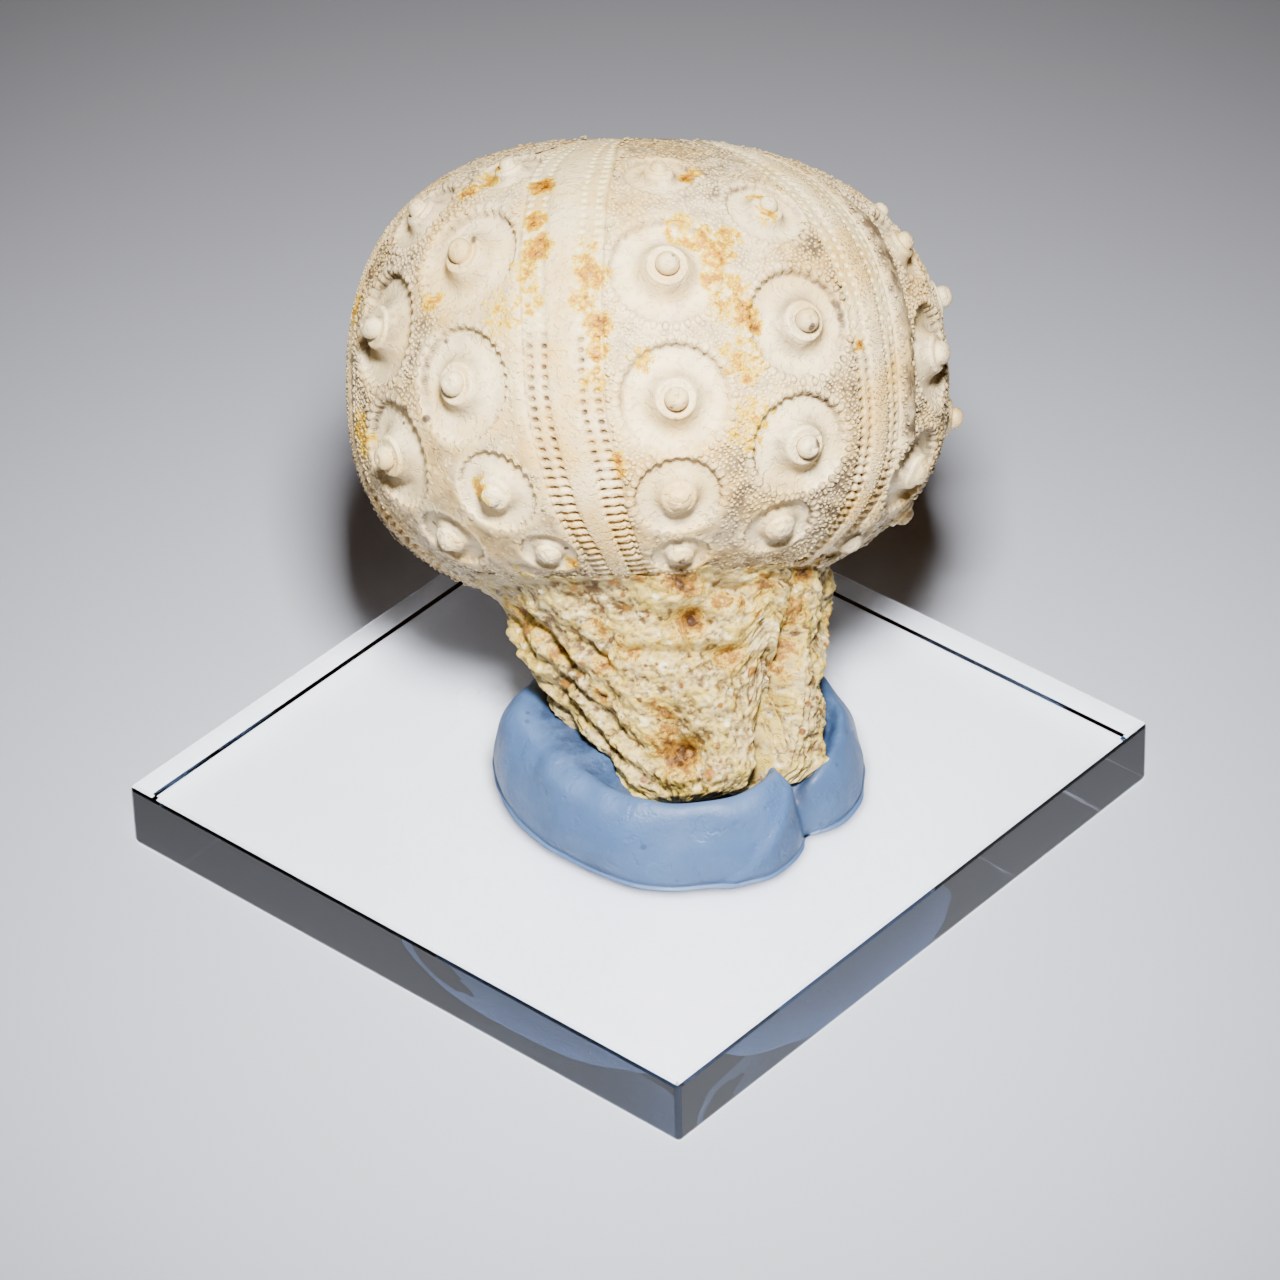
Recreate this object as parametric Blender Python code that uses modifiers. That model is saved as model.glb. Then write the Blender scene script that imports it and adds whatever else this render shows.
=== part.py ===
"""Fossil sea urchin on its stem of rock, leaning back in a collar of putty on a clear square base.

Metres, +Z up. The origin is the centre of the base's underside, and the urchin faces -Y.
The urchin and its stem are shaped in a frame of their own: the origin is on the urchin's axis at its
widest line, +Z runs up the axis, a longitude of 0 faces -Y and longitudes grow towards +X.
"""

import math

import bmesh
import bpy
from mathutils import Matrix, Vector, noise

MM = 0.001

# Base plate
BASE_SIDE = 50 * MM
BASE_THICKNESS = 5 * MM
BASE_EDGE = 0.35 * MM
BASE_TURN = math.radians(47.9)

# How the fossil stands over the base
LEAN = math.radians(37)
FOSSIL_CENTRE = Vector((1.3 * MM, 10.3 * MM, BASE_THICKNESS + 23.0 * MM))
# The fossil is shorter on its +X side than on its -X side, by this share of its height either way
TAPER = 0.055
GAP = 0.3 * MM

# The urchin's shell: a flattened globe, taller and fuller above its widest line than below it
SHELL_RADIUS = 20.4 * MM
CROWN_HEIGHT = 17.4 * MM
CROWN_FULLNESS = 2.5
FOOT_DEPTH = 14.3 * MM
FOOT_FULLNESS = 2.3
FOOT_CUT = 12.4 * MM
CROWN_HOLE_RADIUS = 5.4 * MM
CROWN_HOLE_DEPTH = 0.6 * MM

# Five narrow bands of pores run from crown to foot, with a wide area between each two.
# A sway is how far a longitude turns below the widest line, in degrees a millimetre; above it the turn
# is SWAY_ABOVE of that.
BAND_LONGITUDES = (-16.0, 49.7, 118.0, 195.0, 276.0)
BAND_SWAYS = (-0.45, -0.55, -0.10, 0.10, -0.30)
SWAY_ABOVE = 0.3
BAND_HALF_WIDTH = 2.6 * MM
BAND_DEPTH = 0.5 * MM

# Each wide area has two columns of great tubercles: (height, radius of the sunken ring) in mm
HIGH_COLUMN = ((14.4, 2.4), (8.2, 3.85), (-0.3, 3.75), (-7.0, 2.9), (-10.9, 2.0))
LOW_COLUMN = ((11.8, 2.8), (4.3, 3.8), (-4.0, 3.6), (-9.4, 2.5))
# (longitude of the left column, of the right one, sway, rise in mm, whether the left one is the high one)
AREAS = (
    (4.6, 30.4, -0.15, -0.5, True),
    (68.5, 96.0, 0.20, -1.9, False),
    (142.5, 170.5, 0.0, 0.0, True),
    (221.0, 249.5, 0.0, 0.3, False),
    (299.5, 322.2, -0.75, 0.4, False),
)

# A great tubercle of sunken-ring radius 3.8 mm, from the middle outwards: (radius, height, points)
TUBERCLE_SIZE = 3.8 * MM
TUBERCLE = (
    (0.0, 1.30, 1),
    (0.55, 1.05, 6),
    (0.85, 0.42, 8),
    (1.30, 0.36, 10),
    (2.05, -0.42, 10),
    (3.45, -0.55, 14),
    (3.80, 0.10, 14),
)

# Stem of rock, in the urchin's frame: (height, half width, half depth, middle X, middle Y) in mm
STEM = (
    (-12.7, 11.2, 10.2, 0.8, 0.0),
    (-14.2, 11.1, 10.2, 1.0, 0.0),
    (-16.0, 10.6, 9.7, 1.4, 0.0),
    (-18.0, 10.1, 9.0, 1.6, 0.0),
    (-20.0, 9.4, 8.3, 1.9, -0.1),
    (-22.0, 8.5, 7.6, 2.5, -0.2),
    (-24.0, 7.8, 7.2, 3.2, -0.2),
    (-26.0, 7.0, 6.5, 3.6, -0.4),
    (-27.4, 5.6, 5.3, 3.5, -0.8),
    (-27.9, 3.2, 3.4, 2.6, -1.4),
)
# Forms of its broken side: (direction in degrees, where -90 faces -Y, its spread, height in mm,
# half its height in mm, how far it stands out in mm)
STEM_FORMS = (
    (-22, 15, -25.0, 4.0, 0.9),
    (-46, 9, -21.5, 3.2, -1.8),
    (-92, 16, -24.7, 1.2, -1.3),
    (-150, 30, -20.5, 3.0, -1.1),
)
STEM_SIDES = 30
STEM_ROWS = 16
STEM_ROUGHNESS = 0.7 * MM
# The stem is broken off aslant: its back is this share shorter than its front
STEM_SLANT = 0.36
# The putty's seat is the stem's shape without its clefts, this much wider all round and this much lower
SEAT_CLEARANCE = 0.6 * MM

# Collar of putty on the base: (radius against its outline, height against its rim)
PUTTY_CENTRE = Vector((2.0 * MM, -3.6 * MM, BASE_THICKNESS + GAP))
PUTTY_RADIUS = 12.0 * MM
PUTTY_HEIGHT = 5.6 * MM
PUTTY_SIDES = 36
PUTTY_PROFILE = (
    (0.0, 0.55), (0.35, 0.56), (0.58, 0.78), (0.72, 0.97), (0.82, 1.0), (0.91, 0.86), (0.97, 0.6),
    (1.0, 0.32), (0.985, 0.08), (0.94, 0.0), (0.5, 0.0), (0.0, 0.0),
)
# Pressed lobes of the putty: (direction in degrees, spread in degrees, how far it stands out)
PUTTY_LOBES = ((18, 17, 1.3 * MM), (-72, 60, 0.5 * MM), (155, 30, 0.5 * MM), (-8, 9, -0.9 * MM))


def clear_scene():
    for obj in list(bpy.data.objects):
        bpy.data.objects.remove(obj)


def collection(name):
    made = bpy.data.collections.new(name)
    bpy.context.scene.collection.children.link(made)
    return made


def finish(name, colour, roughness, transmission=0.0):
    material = bpy.data.materials.new(name)
    material.use_nodes = True
    shader = material.node_tree.nodes["Principled BSDF"]
    shader.inputs["Base Color"].default_value = (*colour, 1)
    shader.inputs["Roughness"].default_value = roughness
    shader.inputs["Metallic"].default_value = 0
    shader.inputs["Transmission Weight"].default_value = transmission
    return material


def piece(name, bm, material, group, smooth_angle=None):
    mesh = bpy.data.meshes.new(name)
    bmesh.ops.recalc_face_normals(bm, faces=bm.faces)
    bm.to_mesh(mesh)
    bm.free()
    mesh.materials.append(material)
    if smooth_angle is not None:
        mesh.shade_smooth()
        mesh.set_sharp_from_angle(angle=smooth_angle)
    obj = bpy.data.objects.new(name, mesh)
    group.objects.link(obj)
    return obj


def turned(profile, sides):
    """A closed shape turned round +Z from a profile of (radius, height) that starts and ends on the axis."""
    bm = bmesh.new()
    line = [bm.verts.new((radius, 0, height)) for radius, height in profile]
    edges = [bm.edges.new(pair) for pair in zip(line, line[1:])]
    bmesh.ops.spin(
        bm, geom=line + edges, cent=(0, 0, 0), axis=(0, 0, 1), angle=2 * math.pi, steps=sides, use_merge=True
    )
    bmesh.ops.remove_doubles(bm, verts=bm.verts, dist=1e-5)
    return bm


def smoothstep(low, high, value):
    share = min(1.0, max(0.0, (value - low) / (high - low)))
    return share * share * (3 - 2 * share)


# ---- the urchin's shell ----


def shell_girth(height):
    """Radius of the plain globe at this height above its widest line."""
    reach, fullness = (CROWN_HEIGHT, CROWN_FULLNESS) if height > 0 else (FOOT_DEPTH, FOOT_FULLNESS)
    return SHELL_RADIUS * max(0.0, 1 - abs(height / reach) ** fullness) ** (1 / fullness)


def tapered(point):
    return Vector((point.x, point.y, point.z * (1 - TAPER * point.x / SHELL_RADIUS)))


def swayed(longitude, sway, height):
    """A longitude given at the widest line, at this height in mm."""
    return longitude + sway * height * (SWAY_ABOVE if height > 0 else 1)


def shell_point(longitude, height):
    girth = shell_girth(height)
    angle = math.radians(longitude)
    return Vector((girth * math.sin(angle), -girth * math.cos(angle), height))


def shell_skin(direction):
    """Point of the plain globe in this direction from its middle, and the outward normal there."""
    reach, fullness = (CROWN_HEIGHT, CROWN_FULLNESS) if direction.z > 0 else (FOOT_DEPTH, FOOT_FULLNESS)
    across = math.hypot(direction.x, direction.y)
    wide = across / SHELL_RADIUS
    tall = abs(direction.z) / reach
    point = direction * (wide**fullness + tall**fullness) ** (-1 / fullness)
    if point.z < -FOOT_CUT:
        return direction * (FOOT_CUT / -direction.z), Vector((0, 0, -1))
    outward = wide ** (fullness - 1) / SHELL_RADIUS
    upward = math.copysign(tall ** (fullness - 1) / reach, direction.z)
    spoke = Vector((direction.x, direction.y, 0)).normalized() if across > 1e-9 else Vector()
    return point, (spoke * outward + Vector((0, 0, upward))).normalized()


def tubercles():
    """(middle on the plain globe, size against a tubercle of TUBERCLE_SIZE) of every great tubercle."""
    found = []
    for left, right, sway, rise, left_is_high in AREAS:
        columns = (HIGH_COLUMN, LOW_COLUMN) if left_is_high else (LOW_COLUMN, HIGH_COLUMN)
        for longitude, rows in zip((left, right), columns):
            for height, radius in rows:
                middle = shell_point(swayed(longitude, sway, height + rise), (height + rise) * MM)
                found.append((middle, radius * MM / TUBERCLE_SIZE))
    return found


def tubercle_height(distance, size):
    """Height of a great tubercle's surface over the plain globe, at this distance from its middle."""
    rings = [(radius * size * MM, height * size * MM) for radius, height, _ in TUBERCLE]
    for (near, low), (far, high) in zip(rings, rings[1:]):
        if distance <= far:
            return low + (high - low) * (distance - near) / (far - near)
    return rings[-1][1] * max(0.0, 1 - (distance - rings[-1][0]) / MM)


def band_offset(point, band):
    """Signed distance across the shell from the middle line of a band of pores."""
    longitude = swayed(BAND_LONGITUDES[band], BAND_SWAYS[band], point.z / MM)
    turn = math.atan2(point.x, -point.y) - math.radians(longitude)
    turn = (turn + math.pi) % (2 * math.pi) - math.pi
    return turn * math.hypot(point.x, point.y)


def band_width(height):
    return BAND_HALF_WIDTH * (0.25 + 0.75 * shell_girth(height) / SHELL_RADIUS)


def shell_relief(point, great):
    """Height over the plain globe at a point on it."""
    crown = math.hypot(point.x, point.y) if point.z > 0 else SHELL_RADIUS
    if crown < CROWN_HOLE_RADIUS * 1.02:
        return -CROWN_HOLE_DEPTH
    near, size = min(((point - middle).length / size, size) for middle, size in great)
    if near < TUBERCLE_SIZE + MM:
        return tubercle_height(near * size, size)
    offsets = [abs(band_offset(point, band)) / band_width(point.z) for band in range(len(BAND_LONGITUDES))]
    across = min(offsets)
    furrow = smoothstep(0.15, 0.55, across) * (1 - smoothstep(0.7, 1.0, across))
    return -BAND_DEPTH * furrow


def ring_directions(middle, radius, count, twist=0.0):
    _, normal = shell_skin(middle.normalized())
    side = normal.orthogonal().normalized()
    other = normal.cross(side)
    for index in range(count):
        angle = 2 * math.pi * (index + twist) / count
        yield (middle + radius * (math.cos(angle) * side + math.sin(angle) * other)).normalized()


def shell_directions(great):
    """Directions from the shell's middle to the points of its surface, close where the shape is fine."""
    chosen = []

    def keep(direction, spacing):
        point, _ = shell_skin(direction)
        if all((point - other).length > spacing for _, other in chosen):
            chosen.append((direction.normalized(), point))

    def free_of_tubercles(point, margin, skip=None):
        return all(
            (point - middle).length > TUBERCLE_SIZE * size + margin
            for middle, size in great
            if middle is not skip
        )

    for middle, size in great:
        for radius, _, count in TUBERCLE:
            for direction in ring_directions(middle, radius * size * MM, count):
                point, _ = shell_skin(direction)
                above_cut = point.z > -FOOT_CUT + 0.2 * MM
                if above_cut and free_of_tubercles(point, 0.15 * MM, skip=middle):
                    keep(direction, 0.2 * MM)

    crown = Vector((0, 0, CROWN_HEIGHT))
    for radius, count in ((1.18, 22), (1.0, 22), (0.5, 8)):
        for direction in ring_directions(crown, radius * CROWN_HOLE_RADIUS, count):
            keep(direction, 0.3 * MM)
    keep(Vector((0, 0, 1)), MM)

    cut_girth = shell_girth(-FOOT_CUT)
    for radius, count in ((1.0, 40), (0.55, 8)):
        for index in range(count):
            angle = 2 * math.pi * index / count
            keep(
                Vector((radius * cut_girth * math.cos(angle), radius * cut_girth * math.sin(angle), -FOOT_CUT))
                .normalized(),
                0.3 * MM,
            )
    keep(Vector((0, 0, -1)), MM)

    band_rows = 15
    for band, longitude in enumerate(BAND_LONGITUDES):
        for row in range(band_rows):
            height = (-11.8 + 27.4 * row / (band_rows - 1)) * MM
            girth = shell_girth(height)
            middle = swayed(longitude, BAND_SWAYS[band], height / MM)
            for across in (-1.0, -0.62, 0.0, 0.62, 1.0):
                turn = math.degrees(across * band_width(height) / girth)
                point = shell_point(middle + turn, height)
                if free_of_tubercles(point, 0.25 * MM):
                    keep(point.normalized(), 0.7 * MM)

    fill_count = 1500
    golden = math.pi * (3 - math.sqrt(5))
    for index in range(fill_count):
        height = 1 - 2 * (index + 0.5) / fill_count
        across = math.sqrt(1 - height * height)
        direction = Vector((across * math.cos(golden * index), across * math.sin(golden * index), height))
        point, _ = shell_skin(direction)
        if point.z > -FOOT_CUT and free_of_tubercles(point, 0.6 * MM):
            keep(direction, 1.7 * MM)
    return [direction for direction, _ in chosen]


def make_shell(material, group):
    """The points go on a ball, whose convex hull joins neighbours into triangles, and then out to the shell."""
    great = tubercles()
    bm = bmesh.new()
    for direction in shell_directions(great):
        bm.verts.new(direction)
    bmesh.ops.convex_hull(bm, input=bm.verts)
    bmesh.ops.triangulate(bm, faces=bm.faces)
    for vert in bm.verts:
        point, normal = shell_skin(vert.co.normalized())
        if point.z > -FOOT_CUT + 0.1 * MM:
            point = point + normal * shell_relief(point, great)
        vert.co = tapered(point)
    return piece("urchin_shell", bm, material, group, math.radians(38))


# ---- the stem of rock ----


def stem_section(height):
    """(half width, half depth, middle X, middle Y) of the stem at this height, between STEM's rows."""
    for upper, lower in zip(STEM, STEM[1:]):
        if height >= lower[0]:
            share = (height - upper[0]) / (lower[0] - upper[0])
            return [a + (b - a) * share for a, b in zip(upper[1:], lower[1:])]
    return list(STEM[-1][1:])


def stem_relief(angle, height):
    """How far the broken rock's side stands out in mm, where an angle of 0 faces +X and -90 degrees -Y."""
    relief = 0.3 * math.sin(1.7 * height + 2.0 * math.sin(angle))
    for direction, spread, middle, tall, reach in STEM_FORMS:
        away = (math.degrees(angle) - direction) / spread
        relief += reach * math.exp(-(away**2) - ((height - middle) / tall) ** 2)
    return relief


def stem_surface(angle, height, share, swell):
    """Point of the stem, whose share runs from 0 on its middle line to 1 at its side.

    A swell over 0 widens and lowers the stem, and fills its clefts.
    """
    half_width, half_depth, middle_x, middle_y = stem_section(height)
    rough = noise.fractal(Vector((math.cos(angle) * 3, math.sin(angle) * 3, height * 0.42)), 0.8, 2.1, 4)
    relief = stem_relief(angle, height) + rough * STEM_ROUGHNESS / MM
    if swell > 0:
        relief = max(0.0, relief) + swell / MM
    across = middle_y + half_depth * share * math.sin(angle)
    shorter = STEM_SLANT * smoothstep(-3.0, 7.0, across)
    top = STEM[0][0]
    return tapered(MM * Vector((
        middle_x + (half_width + relief) * share * math.cos(angle),
        middle_y + (half_depth + relief) * share * math.sin(angle),
        top + (height - top) * (1 - shorter) - swell / MM,
    )))


def stem_solid(swell=0.0):
    top, bottom = STEM[0][0], STEM[-1][0]
    sides = [(1, top + (bottom - top) * (row / STEM_ROWS) ** 0.9) for row in range(STEM_ROWS + 1)]
    bm = turned([(0, top), (0.5, top), *sides, (0.4, bottom - 0.1), (0, bottom - 0.2)], STEM_SIDES)
    for vert in bm.verts:
        share = math.hypot(vert.co.x, vert.co.y)
        vert.co = stem_surface(math.atan2(vert.co.y, vert.co.x), vert.co.z, share, swell)
    bmesh.ops.triangulate(bm, faces=bm.faces)
    return bm


# ---- the putty and the base ----


def putty_outline(angle):
    turn = math.degrees(angle)
    out = PUTTY_RADIUS
    for direction, spread, reach in PUTTY_LOBES:
        away = (turn - direction + 180) % 360 - 180
        out += reach * math.exp(-((away / spread) ** 2))
    return out


def make_putty(material, group, stem_frame, cutters):
    bm = turned(PUTTY_PROFILE, PUTTY_SIDES)
    for vert in bm.verts:
        reach = math.hypot(vert.co.x, vert.co.y)
        angle = math.atan2(vert.co.y, vert.co.x)
        dent = 0.12 * noise.noise(Vector((2 * math.cos(angle), 2 * math.sin(angle), 3 * reach)))
        vert.co = Vector((
            putty_outline(angle) * reach * math.cos(angle),
            putty_outline(angle) * reach * math.sin(angle),
            vert.co.z * (1 + dent) * PUTTY_HEIGHT,
        ))
    putty = piece("putty_collar", bm, material, group, math.radians(50))
    putty.location = PUTTY_CENTRE

    seat = piece("stem_seat", stem_solid(SEAT_CLEARANCE), material, cutters)
    seat.matrix_world = stem_frame
    seat.hide_render = True
    seat.display_type = "WIRE"
    cut = putty.modifiers.new("seat for the stem", "BOOLEAN")
    cut.object = seat
    cut.operation = "DIFFERENCE"
    return putty


def make_base(material, group):
    bpy.ops.mesh.primitive_cube_add(size=1, location=(0, 0, BASE_THICKNESS / 2))
    base = bpy.context.object
    base.name = "clear_base"
    base.data.transform(Matrix.Diagonal((BASE_SIDE, BASE_SIDE, BASE_THICKNESS, 1)))
    base.rotation_euler.z = BASE_TURN
    base.data.materials.append(material)
    for owner in list(base.users_collection):
        owner.objects.unlink(base)
    group.objects.link(base)
    edge = base.modifiers.new("eased edges", "BEVEL")
    edge.width = BASE_EDGE
    edge.segments = 2
    return base


def main():
    clear_scene()
    parts = collection("fossil_sea_urchin")
    cutters = collection("cutters")
    shell = make_shell(finish("pale fossil shell", (0.76, 0.70, 0.60), 0.55), parts)
    stem = piece("rock_stem", stem_solid(), finish("yellowish limestone", (0.72, 0.62, 0.38), 0.85), parts)
    fossil = bpy.data.objects.new("fossil_frame", None)
    parts.objects.link(fossil)
    fossil.location = FOSSIL_CENTRE
    fossil.rotation_euler.x = -LEAN
    for obj in (shell, stem):
        obj.parent = fossil
    bpy.context.view_layer.update()
    make_putty(finish("blue putty", (0.33, 0.45, 0.62), 0.6), parts, fossil.matrix_world, cutters)
    make_base(finish("clear acrylic", (0.95, 0.96, 0.97), 0.05, 1.0), parts)


main()
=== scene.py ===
import math

import bmesh
import bpy
import numpy as np
from mathutils import Matrix, Vector, kdtree, noise
from mathutils.geometry import delaunay_2d_cdt


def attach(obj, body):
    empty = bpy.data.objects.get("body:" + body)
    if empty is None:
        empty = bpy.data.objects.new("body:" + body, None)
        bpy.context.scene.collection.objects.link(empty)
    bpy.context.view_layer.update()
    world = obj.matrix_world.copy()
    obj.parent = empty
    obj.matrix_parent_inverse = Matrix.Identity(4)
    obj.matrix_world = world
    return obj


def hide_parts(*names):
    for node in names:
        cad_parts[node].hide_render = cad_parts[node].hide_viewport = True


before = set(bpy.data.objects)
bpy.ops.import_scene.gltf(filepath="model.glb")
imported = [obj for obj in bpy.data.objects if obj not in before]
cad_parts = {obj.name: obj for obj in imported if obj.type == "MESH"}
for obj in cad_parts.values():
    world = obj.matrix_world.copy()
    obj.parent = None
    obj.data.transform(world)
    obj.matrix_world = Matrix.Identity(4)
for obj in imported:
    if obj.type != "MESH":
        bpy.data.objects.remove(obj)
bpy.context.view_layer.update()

mm = 0.001
seed = 27
random = np.random.default_rng(seed)
noise.seed_set(seed)  # the vector noise would start from the clock
print("frame loaded")

# The fossil is shaped upright, in mm: the origin is on the urchin's axis at its widest line, +Z runs up
# the axis, a longitude of 0 faces -Y and longitudes grow towards +X. Then it is leant back over the base.
fossil = {
    "centre": (1.3, 10.3, 28.0),
    "lean": 37.0,
    "taper": 0.055,  # how much shorter it is on its +X side
    "radius": 20.4,
    "crownHeight": 17.4,
    "crownFullness": 2.5,
    "footDepth": 14.3,
    "footFullness": 2.3,
    "footCut": 12.4,
    "crownHole": 5.4,
    "crownLevel": 17.0,
    # the crown's opening, inwards: (share of its radius, height, points round it)
    "crownRings": (
        (1.2, 0.0, 60), (1.08, 0.06, 70), (1.0, -0.1, 70), (0.97, -0.5, 60), (0.8, -0.55, 40), (0.6, -0.5, 30),
        (0.4, -0.55, 20), (0.2, -0.5, 10), (0.0, -0.5, 1),
    ),
    "platePoints": 20000,
    "edgePoints": 260,
}
fossilFrame = Matrix.Translation(Vector(fossil["centre"]) * mm) @ Matrix.Rotation(
    math.radians(-fossil["lean"]), 4, "X"
)


def smoothStep(low, high, value):
    share = np.clip((value - low) / (high - low), 0, 1)
    return share * share * (3 - 2 * share)


def bell(value, middle, spread):
    return np.exp(-(((value - middle) / spread) ** 2))


def curveThrough(table, at):
    # smooth curve through (position, value) pairs
    table = sorted(table)
    xs = np.array([row[0] for row in table], float)
    ys = np.array([row[1] for row in table], float)
    slopes = np.gradient(ys, xs)
    at = np.clip(at, xs[0], xs[-1])
    index = np.clip(np.searchsorted(xs, at, side="right") - 1, 0, len(xs) - 2)
    width = xs[index + 1] - xs[index]
    t = (at - xs[index]) / width
    return (
        (2 * t**3 - 3 * t**2 + 1) * ys[index]
        + (t**3 - 2 * t**2 + t) * width * slopes[index]
        + (-2 * t**3 + 3 * t**2) * ys[index + 1]
        + (t**3 - t**2) * width * slopes[index + 1]
    )


def tapered(points):
    points = np.array(points, float)
    points[:, 2] *= 1 - fossil["taper"] * points[:, 0] / fossil["radius"]
    return points


def lengths(vectors):
    return np.sqrt((vectors**2).sum(axis=-1))


def wrapped(degrees):
    # the same turn between -180 and 180
    return (degrees + 180) % 360 - 180


def turns(count, shift=0.0):
    # angles of points spread round a full turn
    return 2 * np.pi * (np.arange(count) + shift) / count


def fractalAt(points, scale, *settings):
    return np.array([noise.fractal(Vector(point) * scale, *settings) for point in points.tolist()])


def ringFaces(levels, sides):
    # four-sided faces between rings of points, level after level
    start = np.arange(sides)
    after = (start + 1) % sides
    quads = np.column_stack([start, start + sides, after + sides, after])
    return (quads + sides * np.arange(levels - 1)[:, None, None]).reshape(-1, 4)


def halved(quads):
    # each four-sided face as two triangles
    return quads[:, [0, 1, 3, 3, 1, 2]].reshape(-1, 3)


def globeForm(height):
    # (distance of the pole, fullness of the curve) above and below the widest line
    above = height > 0
    reach = np.where(above, fossil["crownHeight"], fossil["footDepth"])
    return reach, np.where(above, fossil["crownFullness"], fossil["footFullness"])


def girth(height):
    # radius of the plain globe at this height
    height = np.asarray(height, float)
    reach, fullness = globeForm(height)
    return fossil["radius"] * np.maximum(0, 1 - np.abs(height / reach) ** fullness) ** (1 / fullness)


def globeNormals(points):
    reach, fullness = globeForm(points[:, 2])
    across = np.maximum(np.hypot(points[:, 0], points[:, 1]), 1e-6)
    outward = (across / fossil["radius"]) ** (fullness - 1) / fossil["radius"]
    upward = np.sign(points[:, 2]) * (np.abs(points[:, 2]) / reach) ** (fullness - 1) / reach
    normals = np.column_stack([points[:, :2] / across[:, None] * outward[:, None], upward])
    return normals / lengths(normals)[:, None]


def ontoGlobe(points):
    # each point pulled along its ray from the middle onto the plain globe
    direction = points / lengths(points)[:, None]
    reach, fullness = globeForm(direction[:, 2])
    wide = np.hypot(direction[:, 0], direction[:, 1]) / fossil["radius"]
    tall = np.abs(direction[:, 2]) / reach
    return direction * ((wide**fullness + tall**fullness) ** (-1 / fullness))[:, None]


def globePoints(longitude, height):
    angle = np.radians(longitude)
    return np.column_stack([girth(height) * np.sin(angle), -girth(height) * np.cos(angle), height])


# heights by the length of the way along the shell from the widest line
wayHeights = np.linspace(-fossil["footCut"], fossil["crownHeight"] - 0.01, 1500)
waySteps = np.hypot(np.diff(wayHeights), np.diff(girth(wayHeights)))
wayLengths = np.concatenate([[0], np.cumsum(waySteps)])
wayLengths -= np.interp(0, wayHeights, wayLengths)
# and the shell's area up to there, divided by a full turn
wayAreas = np.concatenate([[0], np.cumsum(waySteps * (girth(wayHeights[1:]) + girth(wayHeights[:-1])) / 2)])


def heightAlong(way):
    return np.interp(way, wayLengths, wayHeights)


def meshPiece(name, points, faces, attributes, material, placed=True):
    mesh = bpy.data.meshes.new(name)
    mesh.from_pydata((np.asarray(points) * mm).tolist(), [], np.asarray(faces).tolist())
    if placed:
        mesh.transform(fossilFrame)
    for key, values in attributes.items():
        mesh.attributes.new(key, "FLOAT", "POINT").data.foreach_set("value", np.asarray(values, np.float32))
    mesh.shade_smooth()
    mesh.materials.append(material)
    piece = bpy.data.objects.new(name, mesh)
    bpy.context.scene.collection.objects.link(piece)
    return piece


def addNode(tree, kind, values=None, **settings):
    # values: socket name or number -> a number, colour or another node's output
    node = tree.nodes.new("ShaderNode" + kind)
    for key, value in settings.items():
        setattr(node, key, value)
    for key, value in (values or {}).items():
        socket = node.inputs[key]
        if isinstance(value, bpy.types.NodeSocket):
            tree.links.new(value, socket)
        else:
            socket.default_value = (*value, 1) if socket.type == "RGBA" else value
    return node


def addGroup(tree, group, values):
    return addNode(tree, "Group", values, node_tree=group).outputs


def mathNode(tree, operation, first, second=0.0, clamp=False):
    return addNode(tree, "Math", {0: first, 1: second}, operation=operation, use_clamp=clamp).outputs[0]


def mixColours(tree, share, first, second):
    return addNode(tree, "Mix", {0: share, 6: first, 7: second}, data_type="RGBA").outputs[2]


def noiseAt(tree, sizeInMm, detail=3.0, roughness=0.55, shift=0.0):
    # smooth noise from 0 to 1, with features of this size
    where = addNode(tree, "TexCoord").outputs["Object"]
    moved = addNode(tree, "VectorMath", {0: where, 1: (shift, shift * 0.7, shift * 1.3)}, operation="ADD")
    scale = mathNode(tree, "DIVIDE", 1000.0, sizeInMm)
    node = addNode(tree, "TexNoise", {"Vector": moved.outputs[0], "Scale": scale, "Detail": detail,
                                      "Roughness": roughness})
    return node.outputs[0]


def ranged(tree, value, low, high, first=0.0, last=1.0):
    node = addNode(tree, "MapRange", {"Value": value, "From Min": low, "From Max": high, "To Min": first,
                                      "To Max": last}, interpolation_type="SMOOTHSTEP")
    return node.outputs[0]


def attribute(tree, name):
    return addNode(tree, "Attribute", attribute_name=name).outputs["Fac"]


def newGroup(name, inputs, outputs):
    group = bpy.data.node_groups.new(name, "ShaderNodeTree")
    kinds = {"colour": "NodeSocketColor", "number": "NodeSocketFloat"}
    for side, sockets in (("INPUT", inputs), ("OUTPUT", outputs)):
        for label, kind in sockets:
            group.interface.new_socket(label, in_out=side, socket_type=kinds[kind])
    return group, group.nodes.new("NodeGroupInput").outputs, group.nodes.new("NodeGroupOutput").inputs


def finishGroup(tree, mask, under, over, result):
    # one colour laid over the other by the mask
    tree.links.new(mixColours(tree, mask, under, over), result["Color"])
    tree.links.new(mask, result["Mask"])


# stone of three shades that run into each other
stoneGroup, given, result = newGroup(
    "stone colour",
    (("Pale", "colour"), ("Warm", "colour"), ("Grey", "colour"), ("Size", "number"), ("Warmth", "number")),
    (("Color", "colour"),),
)
tree = stoneGroup
broad = ranged(tree, noiseAt(tree, given["Size"], 4.0), 0.34, 0.68, -0.45, 0.45)
broad = mathNode(tree, "ADD", broad, given["Warmth"], clamp=True)
close = ranged(tree, noiseAt(tree, mathNode(tree, "MULTIPLY", given["Size"], 0.3), 4.0, 0.6, 0.4), 0.5, 0.72)
shade = mixColours(tree, broad, given["Pale"], given["Warm"])
tree.links.new(mixColours(tree, mathNode(tree, "MULTIPLY", close, 0.5), shade, given["Grey"]), result["Color"])

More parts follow.
